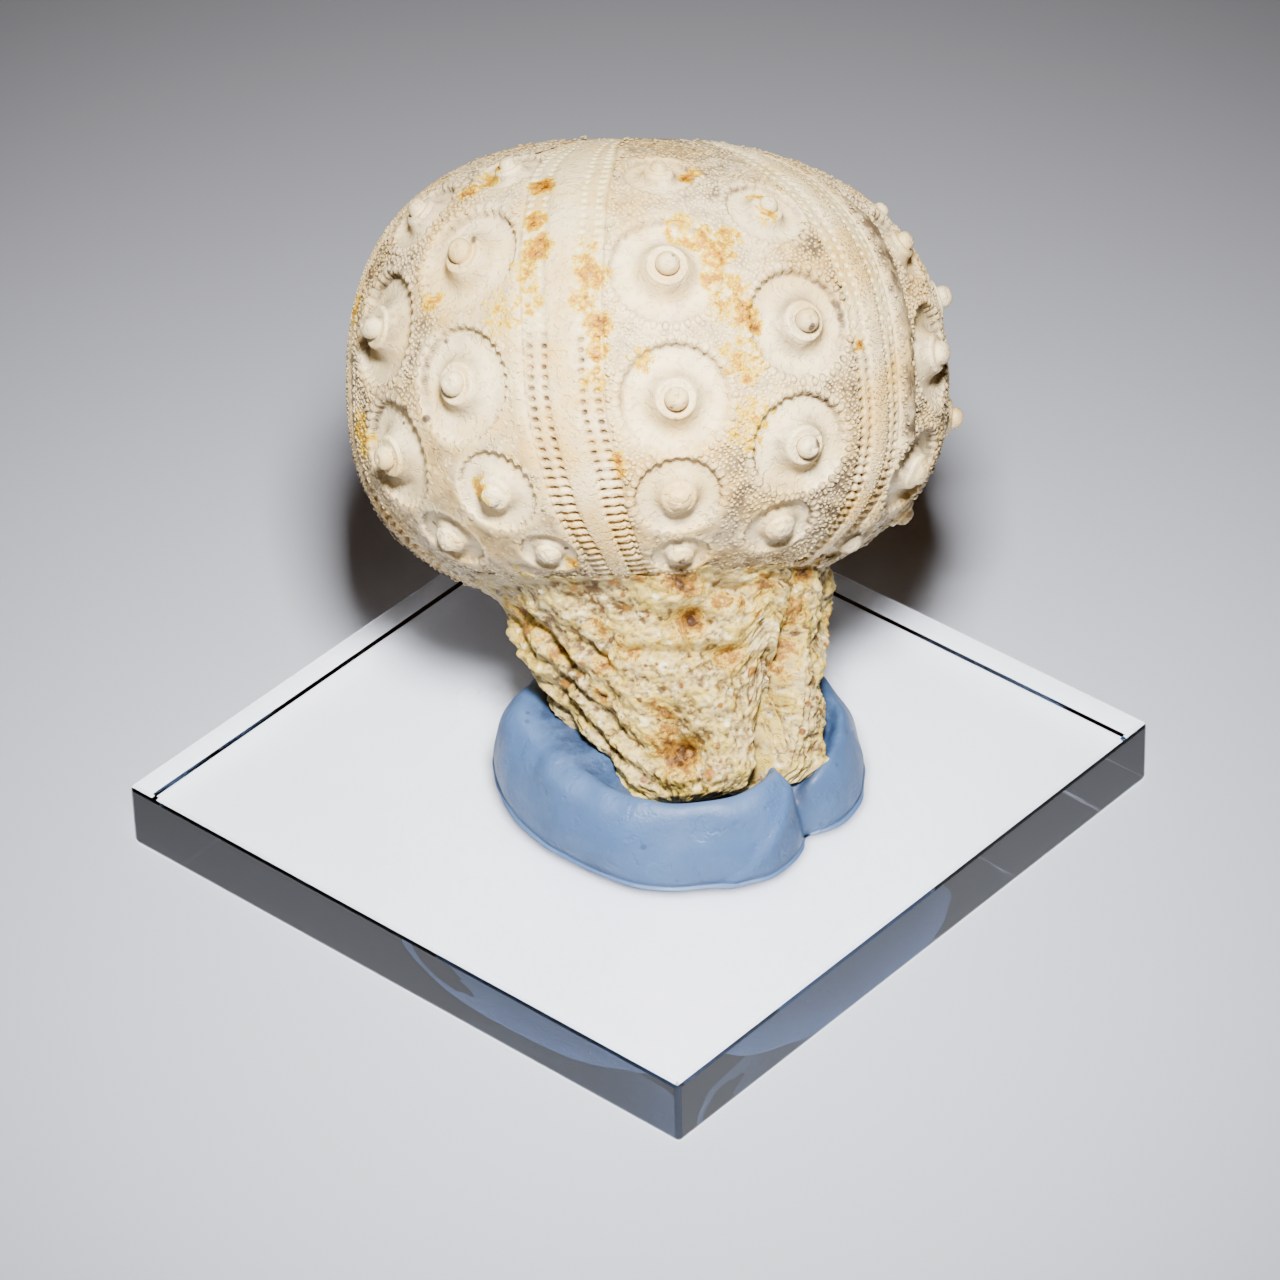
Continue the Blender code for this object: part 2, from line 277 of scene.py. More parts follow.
# soil caught in the hollows, and painted shade in hollows, creases and grooves, given by one amount
soilAndShadeGroup, given, result = newGroup(
    "soil and painted shade in hollows",
    (("Color", "colour"), ("SoilAndShade", "colour"), ("Amount", "number"), ("Size", "number")),
    (("Color", "colour"), ("Mask", "number")),
)
tree = soilAndShadeGroup
patch = ranged(tree, noiseAt(tree, given["Size"], 5.0, 0.65, 0.2), 0.3, 0.7, 0.35, 1.45)
mask = mathNode(tree, "MULTIPLY", given["Amount"], patch, clamp=True)
finishGroup(tree, mask, given["Color"], given["SoilAndShade"], result)

# rust-like stain that deepens where it is thick
stainGroup, given, result = newGroup(
    "iron stain",
    (("Color", "colour"), ("Thin", "colour"), ("Thick", "colour"), ("Dark", "colour"), ("Amount", "number"),
     ("Size", "number")),
    (("Color", "colour"), ("Mask", "number")),
)
tree = stainGroup
patch = ranged(tree, noiseAt(tree, given["Size"], 6.0, 0.75, 0.7), 0.28, 0.72, -0.6, 0.5)
level = mathNode(tree, "ADD", given["Amount"], patch)
level = mathNode(tree, "MULTIPLY", level, ranged(tree, given["Amount"], 0.02, 0.2))
tint = mixColours(tree, ranged(tree, level, 0.25, 0.65), given["Thin"], given["Thick"])
tint = mixColours(tree, ranged(tree, level, 0.70, 1.15), tint, given["Dark"])
finishGroup(tree, ranged(tree, level, 0.04, 0.28), given["Color"], tint, result)

# scattered small specks
speckGroup, given, result = newGroup(
    "specks",
    (("Color", "colour"), ("Speck", "colour"), ("Spacing", "number"), ("Share", "number"),
     ("Amount", "number")),
    (("Color", "colour"), ("Mask", "number")),
)
tree = speckGroup
where = addNode(tree, "TexCoord").outputs["Object"]
scale = mathNode(tree, "DIVIDE", 1000.0, given["Spacing"])
cells = addNode(tree, "TexVoronoi", {"Vector": where, "Scale": scale})
chance = addNode(tree, "SeparateColor", {0: cells.outputs["Color"]})
chosen = mathNode(tree, "LESS_THAN", chance.outputs[0], given["Share"])
radius = addNode(tree, "Math", {0: chance.outputs[1], 1: 0.16, 2: 0.07}, operation="MULTIPLY_ADD").outputs[0]
near = mathNode(tree, "DIVIDE", cells.outputs["Distance"], radius)
mask = mathNode(tree, "MULTIPLY", ranged(tree, near, 1.25, 0.75), chosen)
mask = mathNode(tree, "MULTIPLY", mask, given["Amount"], clamp=True)
finishGroup(tree, mask, given["Color"], given["Speck"], result)

# fine grain, as a height in mm
grainGroup, given, result = newGroup(
    "fine grain", (("Size", "number"), ("Depth", "number"), ("Pits", "number")), (("Height", "number"),)
)
tree = grainGroup
soft = noiseAt(tree, given["Size"], 5.0, 0.7, 0.1)
pits = noiseAt(tree, mathNode(tree, "MULTIPLY", given["Size"], 1.7), 3.0, 0.6, 0.9)
pits = ranged(tree, pits, 0.36, 0.46, -1.0, 0.0)
height = mathNode(tree, "MULTIPLY", soft, given["Depth"])
tree.links.new(mathNode(tree, "ADD", height, mathNode(tree, "MULTIPLY", pits, given["Pits"])), result["Height"])


def newMaterial(name):
    material = bpy.data.materials.new(name)
    material.use_nodes = True
    return material, material.node_tree, material.node_tree.nodes["Principled BSDF"]


# the soil amount of a mesh holds real soil and painted shade together
def addSoilAndShade(tree, colour, soilAndShade, size):
    return addGroup(tree, soilAndShadeGroup, {
        "Color": colour, "SoilAndShade": soilAndShade, "Amount": attribute(tree, "soilAndShade"), "Size": size,
    })


def addStain(tree, colour, tints, size):
    return addGroup(tree, stainGroup, {
        "Color": colour, "Thin": tints[0], "Thick": tints[1], "Dark": tints[2],
        "Amount": attribute(tree, "stain"), "Size": size,
    })["Color"]


def addSpecks(tree, colour, speck, spacing, share, amount=1.0):
    return addGroup(tree, speckGroup, {
        "Color": colour, "Speck": speck, "Spacing": spacing, "Share": share, "Amount": amount,
    })["Color"]


def addRoughness(tree, shader, size, low, high):
    rough = ranged(tree, noiseAt(tree, size, 4.0), 0.3, 0.7, low, high)
    tree.links.new(rough, shader.inputs["Roughness"])


def addBump(tree, shader, height):
    bump = addNode(tree, "Bump", {"Height": height, "Distance": mm})
    tree.links.new(bump.outputs["Normal"], shader.inputs["Normal"])


def addGrain(tree, shader, size, depth, pits):
    addBump(tree, shader, addGroup(tree, grainGroup, {"Size": size, "Depth": depth, "Pits": pits})["Height"])


# the shell's stone, with how much of each effect its pieces show
shellLook = {
    "pale": (0.87, 0.69, 0.385),
    "warm": (0.72, 0.455, 0.125),
    "grey": (0.47, 0.37, 0.25),
    # colour of the soil, and of the painted shade in hollows and creases
    "soilAndShade": (0.130, 0.082, 0.040),
    "filling": (0.88, 0.74, 0.38),
    "stain": ((0.74, 0.48, 0.003), (0.47, 0.20, 0.001), (0.13, 0.038, 0.001)),
    "speck": (0.07, 0.04, 0.02),
    # paler tips: worn stone with a painted highlight
    "tip": (0.90, 0.76, 0.52),
    "patchSize": 5.0,
    "roughness": 0.42,
    "grain": (0.30, 0.07, 0.05),  # size, depth and depth of the pits, in mm
    "glints": {"Spacing": 0.62, "Share": 0.16, "Amount": 1.0},
}


def makeShellFinish(name, grained=False):
    material, tree, shader = newMaterial(name)
    colour = addGroup(tree, stoneGroup, {
        "Pale": shellLook["pale"], "Warm": shellLook["warm"], "Grey": shellLook["grey"],
        "Size": shellLook["patchSize"], "Warmth": attribute(tree, "warmth"),
    })["Color"]
    if grained:
        # every granule has its own tone, and the tips are paler, as worn stone with a painted highlight
        tone = mathNode(tree, "MULTIPLY", attribute(tree, "tone"), 0.35)
        colour = mixColours(tree, tone, colour, shellLook["warm"])
        tip = mathNode(tree, "MULTIPLY", attribute(tree, "tip"), 0.30)
        colour = mixColours(tree, tip, colour, shellLook["tip"])
    colour = mixColours(tree, attribute(tree, "filling"), colour, shellLook["filling"])
    # soil, and painted shade in the hollows, creases and grooves
    soilAndShadeOutputs = addSoilAndShade(tree, colour, shellLook["soilAndShade"], 1.2)
    colour = addStain(tree, soilAndShadeOutputs["Color"], shellLook["stain"], 0.7)
    colour = addSpecks(tree, colour, shellLook["speck"], 1.5, 0.07, 0.9)
    tree.links.new(colour, shader.inputs["Base Color"])
    # duller where soil and painted shade lie, with small glints
    low, high = shellLook["roughness"] - 0.12, shellLook["roughness"] + 0.18
    rough = ranged(tree, noiseAt(tree, 0.8, 4.0), 0.3, 0.7, low, high)
    rough = mathNode(tree, "ADD", rough, mathNode(tree, "MULTIPLY", soilAndShadeOutputs["Mask"], 0.3), clamp=True)
    glints = addGroup(tree, speckGroup, shellLook["glints"])["Mask"]
    rough = mathNode(tree, "SUBTRACT", rough, mathNode(tree, "MULTIPLY", glints, 0.30), clamp=True)
    tree.links.new(rough, shader.inputs["Roughness"])
    addGrain(tree, shader, *shellLook["grain"])
    return material


# great tubercles: (longitude, height, radius of the sunken ring, wear of the knob) down each column
tubercles = {
    "columns": (
        ((4.6, 14.2, 2.4, 0.3), (4.3, 7.7, 3.85, 0.0), (4.9, -1.0, 3.75, 0.0), (5.6, -7.4, 2.95, 0.8),
         (7.4, -11.2, 2.0, 0.9)),
        ((28.8, 11.7, 2.8, 0.2), (30.4, 4.0, 3.8, 0.0), (30.4, -4.25, 3.6, 0.0), (31.4, -9.7, 2.5, 0.9)),
        ((71.5, 9.9, 2.8, 0.4), (71.0, 2.1, 3.7, 0.5), (69.0, -6.2, 3.3, 0.8), (67.5, -11.0, 2.1, 1.0)),
        ((96.7, 12.5, 2.4, 0.1), (96.4, 6.3, 3.85, 0.0), (95.6, -2.2, 3.75, 0.1), (94.2, -8.9, 2.9, 0.7)),
        ((142.5, 14.4, 2.4, 0.4), (142.5, 8.2, 3.85, 0.0), (142.5, -0.3, 3.75, 0.2), (142.5, -7.0, 2.9, 0.5),
         (142.5, -10.9, 2.0, 0.9)),
        ((170.5, 11.8, 2.8, 0.1), (170.5, 4.3, 3.8, 0.0), (170.5, -4.0, 3.6, 0.0), (170.5, -9.4, 2.5, 0.8)),
        ((221.0, 12.1, 2.8, 0.2), (221.0, 4.6, 3.8, 0.6), (221.0, -3.7, 3.6, 0.0), (221.0, -9.1, 2.5, 0.9)),
        ((249.5, 14.7, 2.4, 0.5), (249.5, 8.5, 3.85, 0.1), (249.5, 0.0, 3.75, 0.0), (249.5, -6.7, 2.9, 0.4),
         (249.5, -10.6, 2.0, 1.0)),
        ((298.1, 11.9, 2.8, 0.3), (298.5, 4.5, 3.8, 0.1), (301.2, -3.65, 3.6, 0.0), (306.2, -9.2, 2.5, 0.9)),
        ((319.2, 14.6, 2.4, 0.2), (321.4, 8.75, 3.85, 0.1), (322.4, 0.55, 3.75, 0.1), (326.9, -6.45, 2.95, 0.6),
         (332.6, -10.55, 2.0, 1.0)),
    ),
    "ringRadius": 3.8,  # of a tubercle of size 1
    "wallRadius": 3.75,
    # sunken ring of size 1, outwards: (radius, height, points round it, dirt and painted shade); the shade is
    # painted round the foot of the knob's cone and at the foot of the wall
    "ring": (
        (0.0, 0.30, 1, 0.1), (0.80, 0.30, 14, 0.1), (1.15, 0.40, 24, 0.2), (1.36, 0.38, 36, 0.3),
        (1.52, 0.18, 40, 0.45), (1.72, -0.14, 40, 0.45), (1.98, -0.42, 42, 0.32), (2.30, -0.62, 46, 0.16),
        (2.70, -0.69, 52, 0.0), (3.10, -0.65, 64, 0.0), (3.42, -0.57, 84, 0.1), (3.62, -0.52, 112, 0.7),
        (3.72, -0.42, 128, 1.0), (3.74, -0.12, 128, 0.6), (3.84, 0.04, 128, 0.15), (4.00, 0.10, 112, 0.1),
        (4.22, 0.11, 96, 0.2),
    ),
    "scallop": 0.72,  # mm from one scallop of the ring's wall to the next
    "scallopDepth": 0.07,
    # knob from the tip outwards: (radius, height), fresh and worn
    "knob": (
        (0.0, 1.38), (0.12, 1.41), (0.27, 1.47), (0.44, 1.44), (0.60, 1.33), (0.73, 1.16), (0.81, 0.95),
        (0.82, 0.76), (0.75, 0.58), (0.73, 0.47), (0.80, 0.42), (0.96, 0.44), (1.16, 0.49), (1.29, 0.51),
        (1.37, 0.47), (1.42, 0.36), (1.46, 0.12),
    ),
    "wornKnob": (
        (0.0, 0.98), (0.15, 0.99), (0.30, 0.98), (0.46, 0.95), (0.60, 0.90), (0.72, 0.84), (0.82, 0.78),
        (0.91, 0.72), (1.00, 0.65), (1.08, 0.59), (1.16, 0.53), (1.24, 0.47), (1.32, 0.40), (1.39, 0.33),
        (1.45, 0.25), (1.51, 0.15), (1.56, 0.0),
    ),
    "knobPoints": 40,
    # dark pits in the knobs, painted as shade where no hole is cut: (longitude, height, reach in mm, how
    # strong)
    "pits": (
        (31.5, 4.3, 0.36, 1.0), (30.2, 3.4, 0.22, 0.9), (31.8, -4.0, 0.34, 1.0), (31.0, -4.9, 0.22, 0.9),
        (5.4, 7.9, 0.12, 0.8), (4.0, -1.5, 0.12, 0.9), (323.4, 9.6, 0.3, 0.8), (299.5, 4.9, 0.3, 0.8),
        (7.6, -11.3, 0.35, 0.9), (97.5, 6.8, 0.3, 1.0), (171.2, -3.6, 0.35, 0.9), (250.0, 0.6, 0.3, 0.9),
    ),
}
tubercleRows = np.array([row for column in tubercles["columns"] for row in column])
tubercleMiddles = globePoints(tubercleRows[:, 0], tubercleRows[:, 1])
tubercleSizes = tubercleRows[:, 2] / tubercles["ringRadius"]
tubercleWear = tubercleRows[:, 3]
tubercleNormals = globeNormals(tubercleMiddles)
crownward = np.array([0, 0, 1.0]) - tubercleNormals * tubercleNormals[:, 2:3]
crownward /= lengths(crownward)[:, None]
sideward = np.cross(crownward, tubercleNormals)


def aroundTubercle(index, angle):
    # directions in the shell's surface
    return np.cos(angle)[:, None] * sideward[index] + np.sin(angle)[:, None] * crownward[index]


def nearestTubercle(points):
    # (which, distance in mm on one of size 1)
    away = lengths(points[:, None, :] - tubercleMiddles[None]) / tubercleSizes
    which = away.argmin(axis=1)
    return which, away[np.arange(len(points)), which]


def beyondRing(points):
    # distance in mm from the edge of the nearest sunken ring
    which, away = nearestTubercle(points)
    return (away - tubercles["ringRadius"]) * tubercleSizes[which]


def scallopCount(size):
    return round(2 * math.pi * tubercles["wallRadius"] * size / tubercles["scallop"])


# bands of pores: (height, longitude) down each band's middle line
bands = {
    "middles": (
        ((16.5, -21.8), (12, -18.0), (6.6, -16.6), (3.5, -16.0), (-0.7, -15.8), (-3.5, -14.8), (-5.6, -13.8),
         (-8.4, -12.9), (-10, -11.7), (-12.4, -9.7)),
        ((16.5, 46.5), (6, 47.9), (1.2, 48.6), (-2.2, 49.6), (-5.5, 51.2), (-8.4, 52.8), (-12.4, 56.0)),
        ((16.5, 117.4), (0, 118.0), (-12.4, 119.3)),
        ((16.5, 195.5), (0, 195.0), (-12.4, 193.8)),
        ((16.5, 274.5), (0, 276.0), (-12.4, 279.7)),
    ),
    # how wide a band is against its width at the widest line
    "widths": (
        (17.4, 0.35), (16, 0.85), (12, 1.06), (5, 1.05), (-1, 1.0), (-7.5, 0.93), (-10, 0.79), (-12.4, 0.62),
    ),
    "rowPitch": 0.68,
    # the two pores of a pair: (distance from the middle line, half width, half height, tilt in degrees)
    "pores": ((2.25, 0.25, 0.155, 0), (1.25, 0.19, 0.15, 20)),
    # a pore from its edge inwards: (share of its size, share of its depth, dirt and painted shade, points round
    # it)
    "poreRings": ((1.35, 0.0, 0.05, 8), (1.0, 0.35, 0.5, 10), (0.72, 0.9, 0.9, 6), (0.0, 1.0, 1.0, 1)),
    # lines of points down the band: (distance from the middle line, points for each row of pores)
    "strips": (
        (0.0, 2), (0.3, 2), (0.58, 3), (0.86, 4), (0.98, 4), (1.08, 4), (1.5, 4), (1.75, 4), (2.0, 4),
        (2.54, 4), (2.62, 3), (2.67, 3), (2.74, 3), (2.86, 2),
    ),
    "slitsBelow": -5.0,  # below this height each pair of pores lies in one slit
    "filledAbove": 2.6,  # above this height the pores are filled with matrix
    # how wide each band is, and how far the strip between its pores bulges
    "scales": (1.0, 0.80, 0.95, 0.90, 0.95),
    "bulges": (0.02, 0.12, 0.10, 0.14, 0.12),
}


def bandMiddle(band, height):
    return curveThrough(bands["middles"][band], height)


def bandWidth(height):
    return curveThrough(bands["widths"], height)


def longitudes(points):
    return np.degrees(np.arctan2(points[:, 0], -points[:, 1]))


def bandOffsets(points):
    # (nearest band, signed distance from its middle line against the band's width)
    across = []
    for band in range(len(bands["middles"])):
        turn = wrapped(longitudes(points) - bandMiddle(band, points[:, 2]))
        across.append(np.radians(turn) * np.hypot(points[:, 0], points[:, 1]))
    across = np.array(across) / bandWidth(points[:, 2]) / np.array(bands["scales"])[:, None]
    nearest = np.abs(across).argmin(axis=0)
    return nearest, across[nearest, np.arange(len(points))]


def slitShare(height):
    return smoothStep(bands["slitsBelow"] + 2.0, bands["slitsBelow"] - 2.5, height)


def bandRelief(across, phase, height, band):
    # phase runs from 0 on one row of pores to 1 on the next
    far = np.abs(across)
    zone = smoothStep(0.95, 1.12, far) * (1 - smoothStep(2.45, 2.66, far))
    rib = 0.5 - 0.5 * np.cos(2 * np.pi * phase)
    slit = slitShare(height)
    relief = -0.06 * zone * (1 - slit) + zone * slit * (rib * 0.26 - 0.17)
    relief += 0.05 * (1 - smoothStep(0.7, 1.0, far))
    relief -= 0.05 * bell(far, 1.02, 0.07)
    relief += np.array(bands["bulges"])[band] * bell(across, 0.15, 0.85)
    edge = 0.6 + 0.4 * smoothStep(-8, 12, height)
    return relief - 0.11 * edge * bell(far, 2.66, 0.07)


def ridgeShare(points, band, across):
    # the thick smooth ridges that run down beside two of the bands
    share = (band == 1) * bell(across, 4.1, 0.95) + (band == 3) * bell(across, -4.0, 0.9)
    return share * smoothStep(15.5, 10.5, points[:, 2])


def plateRelief(points):
    # height of the plates over the plain globe, away from the sunken rings and the bands
    which, away = nearestTubercle(points)
    size = tubercleSizes[which]
    height = np.interp(away, (3.8, 4.0, 4.25, 5.4), (0.0, 0.10, 0.11, 0.0)) * size
    band, across = bandOffsets(points)
    far = np.abs(across)
    height += 0.16 * bell(far, 3.25, 0.45) * (away > 4.3)
    height += 0.42 * ridgeShare(points, band, across) * smoothStep(3.85, 4.5, away)
    height += 0.15 * fractalAt(points, 0.9, 0.6, 2.1, 4) * smoothStep(3.85, 4.3, away)
    return height * smoothStep(2.66, 3.0, far)


def bandOrPlateRelief(points):
    band, across = bandOffsets(points)
    inBand = np.abs(across) < 2.7
    return np.where(inBand, bandRelief(across, 0.5, points[:, 2], band), plateRelief(points))


# places on the shell: (longitude, height, reach in mm, how strong)
marks = {
    "stains": (
        (-26, 13.4, 0.9, 0.85), (-24, 11.0, 0.8, 0.7), (-22, 9.2, 1.0, 0.95), (-24, 7.6, 0.9, 0.5),
        (-23, 5.8, 1.2, 0.3), (-11, 9.4, 0.7, 0.45), (-12, 8.0, 0.8, 0.6), (-10, 7.3, 1.0, 0.75),
        (-12, 5.6, 0.9, 0.55), (-9, 4.0, 0.9, 0.8), (-9, 2.3, 0.7, 0.7), (-10, 0.5, 1.0, 0.3),
        (-6, -4.8, 0.5, 0.9), (-6, -5.6, 0.4, 0.7), (8, 10.4, 1.2, 0.35), (12, 9.8, 1.0, 0.5),
        (15, 8.7, 1.1, 0.72), (13.5, 7.3, 0.9, 0.6), (18, 9.8, 0.8, 0.5), (17, 6.5, 1.2, 0.35),
        (19, 4.6, 1.1, 0.75), (21, 3.9, 0.7, 0.95), (16, 5.0, 1.5, 0.4), (19, 0.3, 0.5, 0.75),
        (18, 1.6, 1.6, 0.35), (20, -3.0, 2.0, 0.3), (-1, 1.6, 0.9, 0.4), (13, 14.3, 0.7, 0.8),
        (30, 12.6, 1.0, 0.6), (28, 11.4, 0.8, 0.5), (-46, 14.5, 1.1, 0.85), (-48, 13.2, 0.8, 0.9),
        (-36, -6.5, 1.1, 0.65), (-46, 5.9, 0.8, 0.45), (44, 2.5, 0.4, 1.0), (-23, -11.4, 0.6, 0.6),
        (-41, -11.4, 0.4, 0.6), (-28, 4.8, 1.6, 0.25), (104, 3, 1.6, 0.7), (110, 9, 1.2, 0.5),
        (131, -4, 1.5, 0.6), (151, 5, 1.4, 0.8), (157, 2, 2.0, 0.4), (178, -8, 1.6, 0.6),
        (193, 8, 1.2, 0.8), (189, 12, 1.0, 0.6), (214, 1, 1.4, 0.5), (232, 10, 1.8, 0.45),
        (240, -5, 1.5, 0.7), (258, 3, 1.2, 0.6), (272, 11, 1.0, 0.9), (279, 6, 0.9, 0.6), (288, -2, 1.5, 0.4),
    ),
    "soils": (
        (40, 4, 4.5, 0.95), (42, -1, 4.5, 1.0), (38, -7, 4.0, 0.9), (46, 9, 5.0, 0.8), (60, 0, 4, 0.8),
        (-56, 4, 5.0, 0.9), (-54, -2, 5.0, 0.95), (22, -6, 3.5, 0.45), (-20, -12, 3.0, 0.7),
        (18, -8, 3.0, 0.5), (20, 14, 4.0, 0.35), (85, 0, 6, 0.6), (106, -6, 5, 0.6), (130, 10, 6, 0.5),
        (160, -2, 6, 0.6), (182, 6, 5, 0.5), (210, -6, 6, 0.6), (234, 4, 6, 0.5), (265, -4, 6, 0.6),
        (290, 8, 5, 0.5),
    ),
    # where the relief is worn smooth
    "worn": (
        (8, 9, 5.0, 0.75), (-30, 4, 7.0, 0.85), (-32, -3, 7.5, 0.92), (-34, -9, 7.5, 0.97),
        (-52, -6, 7, 0.95), (-5, -3, 3.0, 0.7), (-24, 12, 6, 0.7), (6, -10, 5, 0.9), (22, -11, 5, 0.8),
        (-10, 16, 8, 0.62), (16, 2, 3, 0.4), (40, 16, 8, 0.6), (70, -10, 5, 0.7), (128, 6, 6, 0.6),
        (120, 16, 8, 0.5), (185, -2, 6, 0.7), (200, 16, 8, 0.6), (262, 9, 5, 0.6), (236, -8, 4, 0.7),
        (280, 16, 8, 0.6), (300, -9, 6, 0.8), (160, -10, 6, 0.7),
    ),
}


def patches(points, table, edge=1.5, full=0.35):
    # each place fades out between these shares of its reach
    amount = np.zeros(len(points))
    for longitude, height, reach, share in table:
        middle = globePoints(np.array([float(longitude)]), np.array([float(height)]))
        amount = np.maximum(amount, share * smoothStep(edge, full, lengths(points - middle) / reach))
    return amount


def wornShare(points):
    # 0 where the relief is fresh, 1 where it is worn away
    return patches(points, marks["worn"], 1.25, 0.5)


def soilAndShadeShare(points):
    # how soiled the hollows are here, with painted shade towards the foot, and darker near the crown
    wide = np.array([noise.noise(Vector(point) * 0.16) for point in points.tolist()])
    # painted shade: darker towards the foot, where less light falls
    low = smoothStep(-4, -11.0, points[:, 2])
    high = smoothStep(9, 16, points[:, 2])
    share = 0.30 + 0.45 * wide + patches(points, marks["soils"])
    return np.clip(share * (1 - 0.55 * wornShare(points)) + 0.48 * low + 0.22 * high, 0.05, 1)


def ringPoints():
    # the points of every great tubercle's sunken ring: (key on the globe, place, dirt and painted shade)
    made = [], [], []
    for index, middle in enumerate(tubercleMiddles):
        size = tubercleSizes[index]
        twist = random.uniform(0, 6.28)
        for step, (radius, height, count, soilAndShade) in enumerate(tubercles["ring"]):
            count = max(1, round(count * max(0.62, size)))
            angle = turns(count, 0.5 * (step % 2)) + twist
            out = aroundTubercle(index, angle)
            key = ontoGlobe(middle + out * radius * size)
            mine = (nearestTubercle(key)[0] == index) & (np.abs(bandOffsets(key)[1]) > 2.74)
            mine &= key[:, 2] > -fossil["footCut"] + 0.15
            upper = 0.5 + 0.5 * np.sin(angle + 0.35 * math.sin(index * 2.4))
            worn = wornShare(key)
            reach = np.full(count, radius)
            lift = np.full(count, height)
            dirtAndShade = np.full(count, soilAndShade)
            if radius > 3.3:
                wave = np.cos(angle * scallopCount(size) + index) * bell(radius, 3.78, 0.22)
                reach = reach + wave * (1 - 0.45 * worn) * tubercles["scallopDepth"] / max(size, 0.6)
                lean = 1 if radius > 3.7 else -1.4
                reach = reach + (1 - upper) * 0.10 * lean * bell(radius, 3.72, 0.3)
            if 3.0 < radius < 3.76:
                lift = lift + 0.10 * (1 - upper) - 0.05 * upper
            # painted shade: the dark line under the wall is strong on its upper side, where the wall faces down
            # into the ring, and faint below
            if radius > 3.5:
                dirtAndShade = dirtAndShade * ((0.25 + 0.75 * smoothStep(0.25, 0.7, upper)) * (1 - 0.35 * worn))
            place = ontoGlobe(middle + out * (reach * size)[:, None])
            place = place + globeNormals(place) * (lift * size)[:, None]
            for part, values in zip(made, (key, place, dirtAndShade)):
                part.append(values[mine])
    return [np.concatenate(part) for part in made]


def bandPoints():
    # strips and pores of every band: (key, place, dirt and painted shade, filling)
    made = [], [], [], []
    pitch = bands["rowPitch"]
    low = wayLengths[0] + 0.25
    high = np.interp(-fossil["crownHole"] * 1.22, -girth(wayHeights[500:]), wayLengths[500:])
    rows = np.arange(low + pitch / 2, high, pitch)

    def bandKeys(band, way, across):
        height = heightAlong(way)
        turn = across * bandWidth(height) * bands["scales"][band] / girth(height)
        return globePoints(bandMiddle(band, height) + np.degrees(turn), height)

    def put(band, way, across, lift, soilAndShade, fill=0.0):
        key = bandKeys(band, way, across)
        lift, soilAndShade, fill = (np.broadcast_to(value, way.shape) for value in (lift, soilAndShade, fill))
        for part, values in zip(made, (key, key + globeNormals(key) * lift[:, None], soilAndShade, fill)):
            part.append(values)

    def putPores(band, side, way, pore):
        across, wide, tall, tilt = pore
        height = heightAlong(way)
        filled = smoothStep(-0.8, 0.8, height - bands["filledAbove"] + random.normal(0, 0.8, len(way)))
        slit = slitShare(height)
        across = side * across + random.normal(0, 0.02, len(way))
        tilt = np.radians(tilt) * side
        rim = bandRelief(across, 0.0, height, band)
        depth = (0.36 - 0.27 * filled) * (0.85 + 0.3 * random.random(len(way)))
        for share, deep, soilAndShade, count in bands["poreRings"]:
            for turn in turns(count):
                along = math.cos(turn) * wide * (1 + 0.5 * slit)
                up = math.sin(turn) * tall * (1 - 0.35 * slit)
                put(
                    band,
                    way + share * (up * np.cos(tilt) + along * np.sin(tilt)),
                    across + share * (along * np.cos(tilt) - up * np.sin(tilt)),
                    rim - deep * depth,
                    np.full(len(way), soilAndShade) * (1 - 0.85 * filled) * (1 - 0.45 * slit),
                    filled * (share < 1.2),
                )

    def putStrip(band, side, shift, far, share):
        # nothing where the pores are, nor in the sunken rings
        way = np.arange(low, high, pitch / share)
        phase = ((way - shift - rows[0]) / pitch) % 1
        across = np.full(len(way), side * far)
        clear = np.ones(len(way), bool)
        for middle, wide, tall, _ in bands["pores"]:
            beside = (far - middle) / (wide * 1.6)
            ahead = np.minimum(phase, 1 - phase) * pitch / (tall * 1.7)
            clear &= beside**2 + ahead**2 > 1
        if far > 2.7:
            clear &= nearestTubercle(bandKeys(band, way, across))[1] > 4.3
        lift = bandRelief(across, phase, heightAlong(way), band)
        # painted shade along the groove at the band's edge and the groove beside its middle strip
        soilAndShade = 0.5 * bell(far, 2.66, 0.06) + 0.15 * bell(far, 1.02, 0.1)
        put(band, way[clear], across[clear], lift[clear], soilAndShade)

    for band in range(len(bands["middles"])):
        for side in (-1, 1):
            shift = 0.5 * pitch * (side > 0)
            for pore in bands["pores"]:
                putPores(band, side, rows + shift, pore)
            for far, share in bands["strips"]:
                if far > 0 or side > 0:
                    putStrip(band, side, shift, far, share)
    return [np.concatenate(part) for part in made]


def fillPoints(count):
    # points spread evenly over the whole globe
    share = (np.arange(count) + 0.5) / count
    height = np.interp(share * wayAreas[-1], wayAreas, wayHeights)
    longitude = np.degrees(np.pi * (3 - math.sqrt(5)) * np.arange(count)) % 360
    spacing = math.sqrt(2 * math.pi * wayAreas[-1] / count)
    height = np.clip(height + random.normal(0, 0.16 * spacing, count), wayHeights[0] + 0.05, wayHeights[-1])
    longitude += np.degrees(random.normal(0, 0.16 * spacing, count) / np.maximum(girth(height), 1))
    return globePoints(longitude, height)


def freeOf(points, crown, foot):
    # whether points keep this share off the crown's opening and this far above the foot's edge
    reach = np.hypot(points[:, 0], points[:, 1])
    outside = (reach > fossil["crownHole"] * crown) | (points[:, 2] < 0)
    return outside & (points[:, 2] > -fossil["footCut"] + foot)


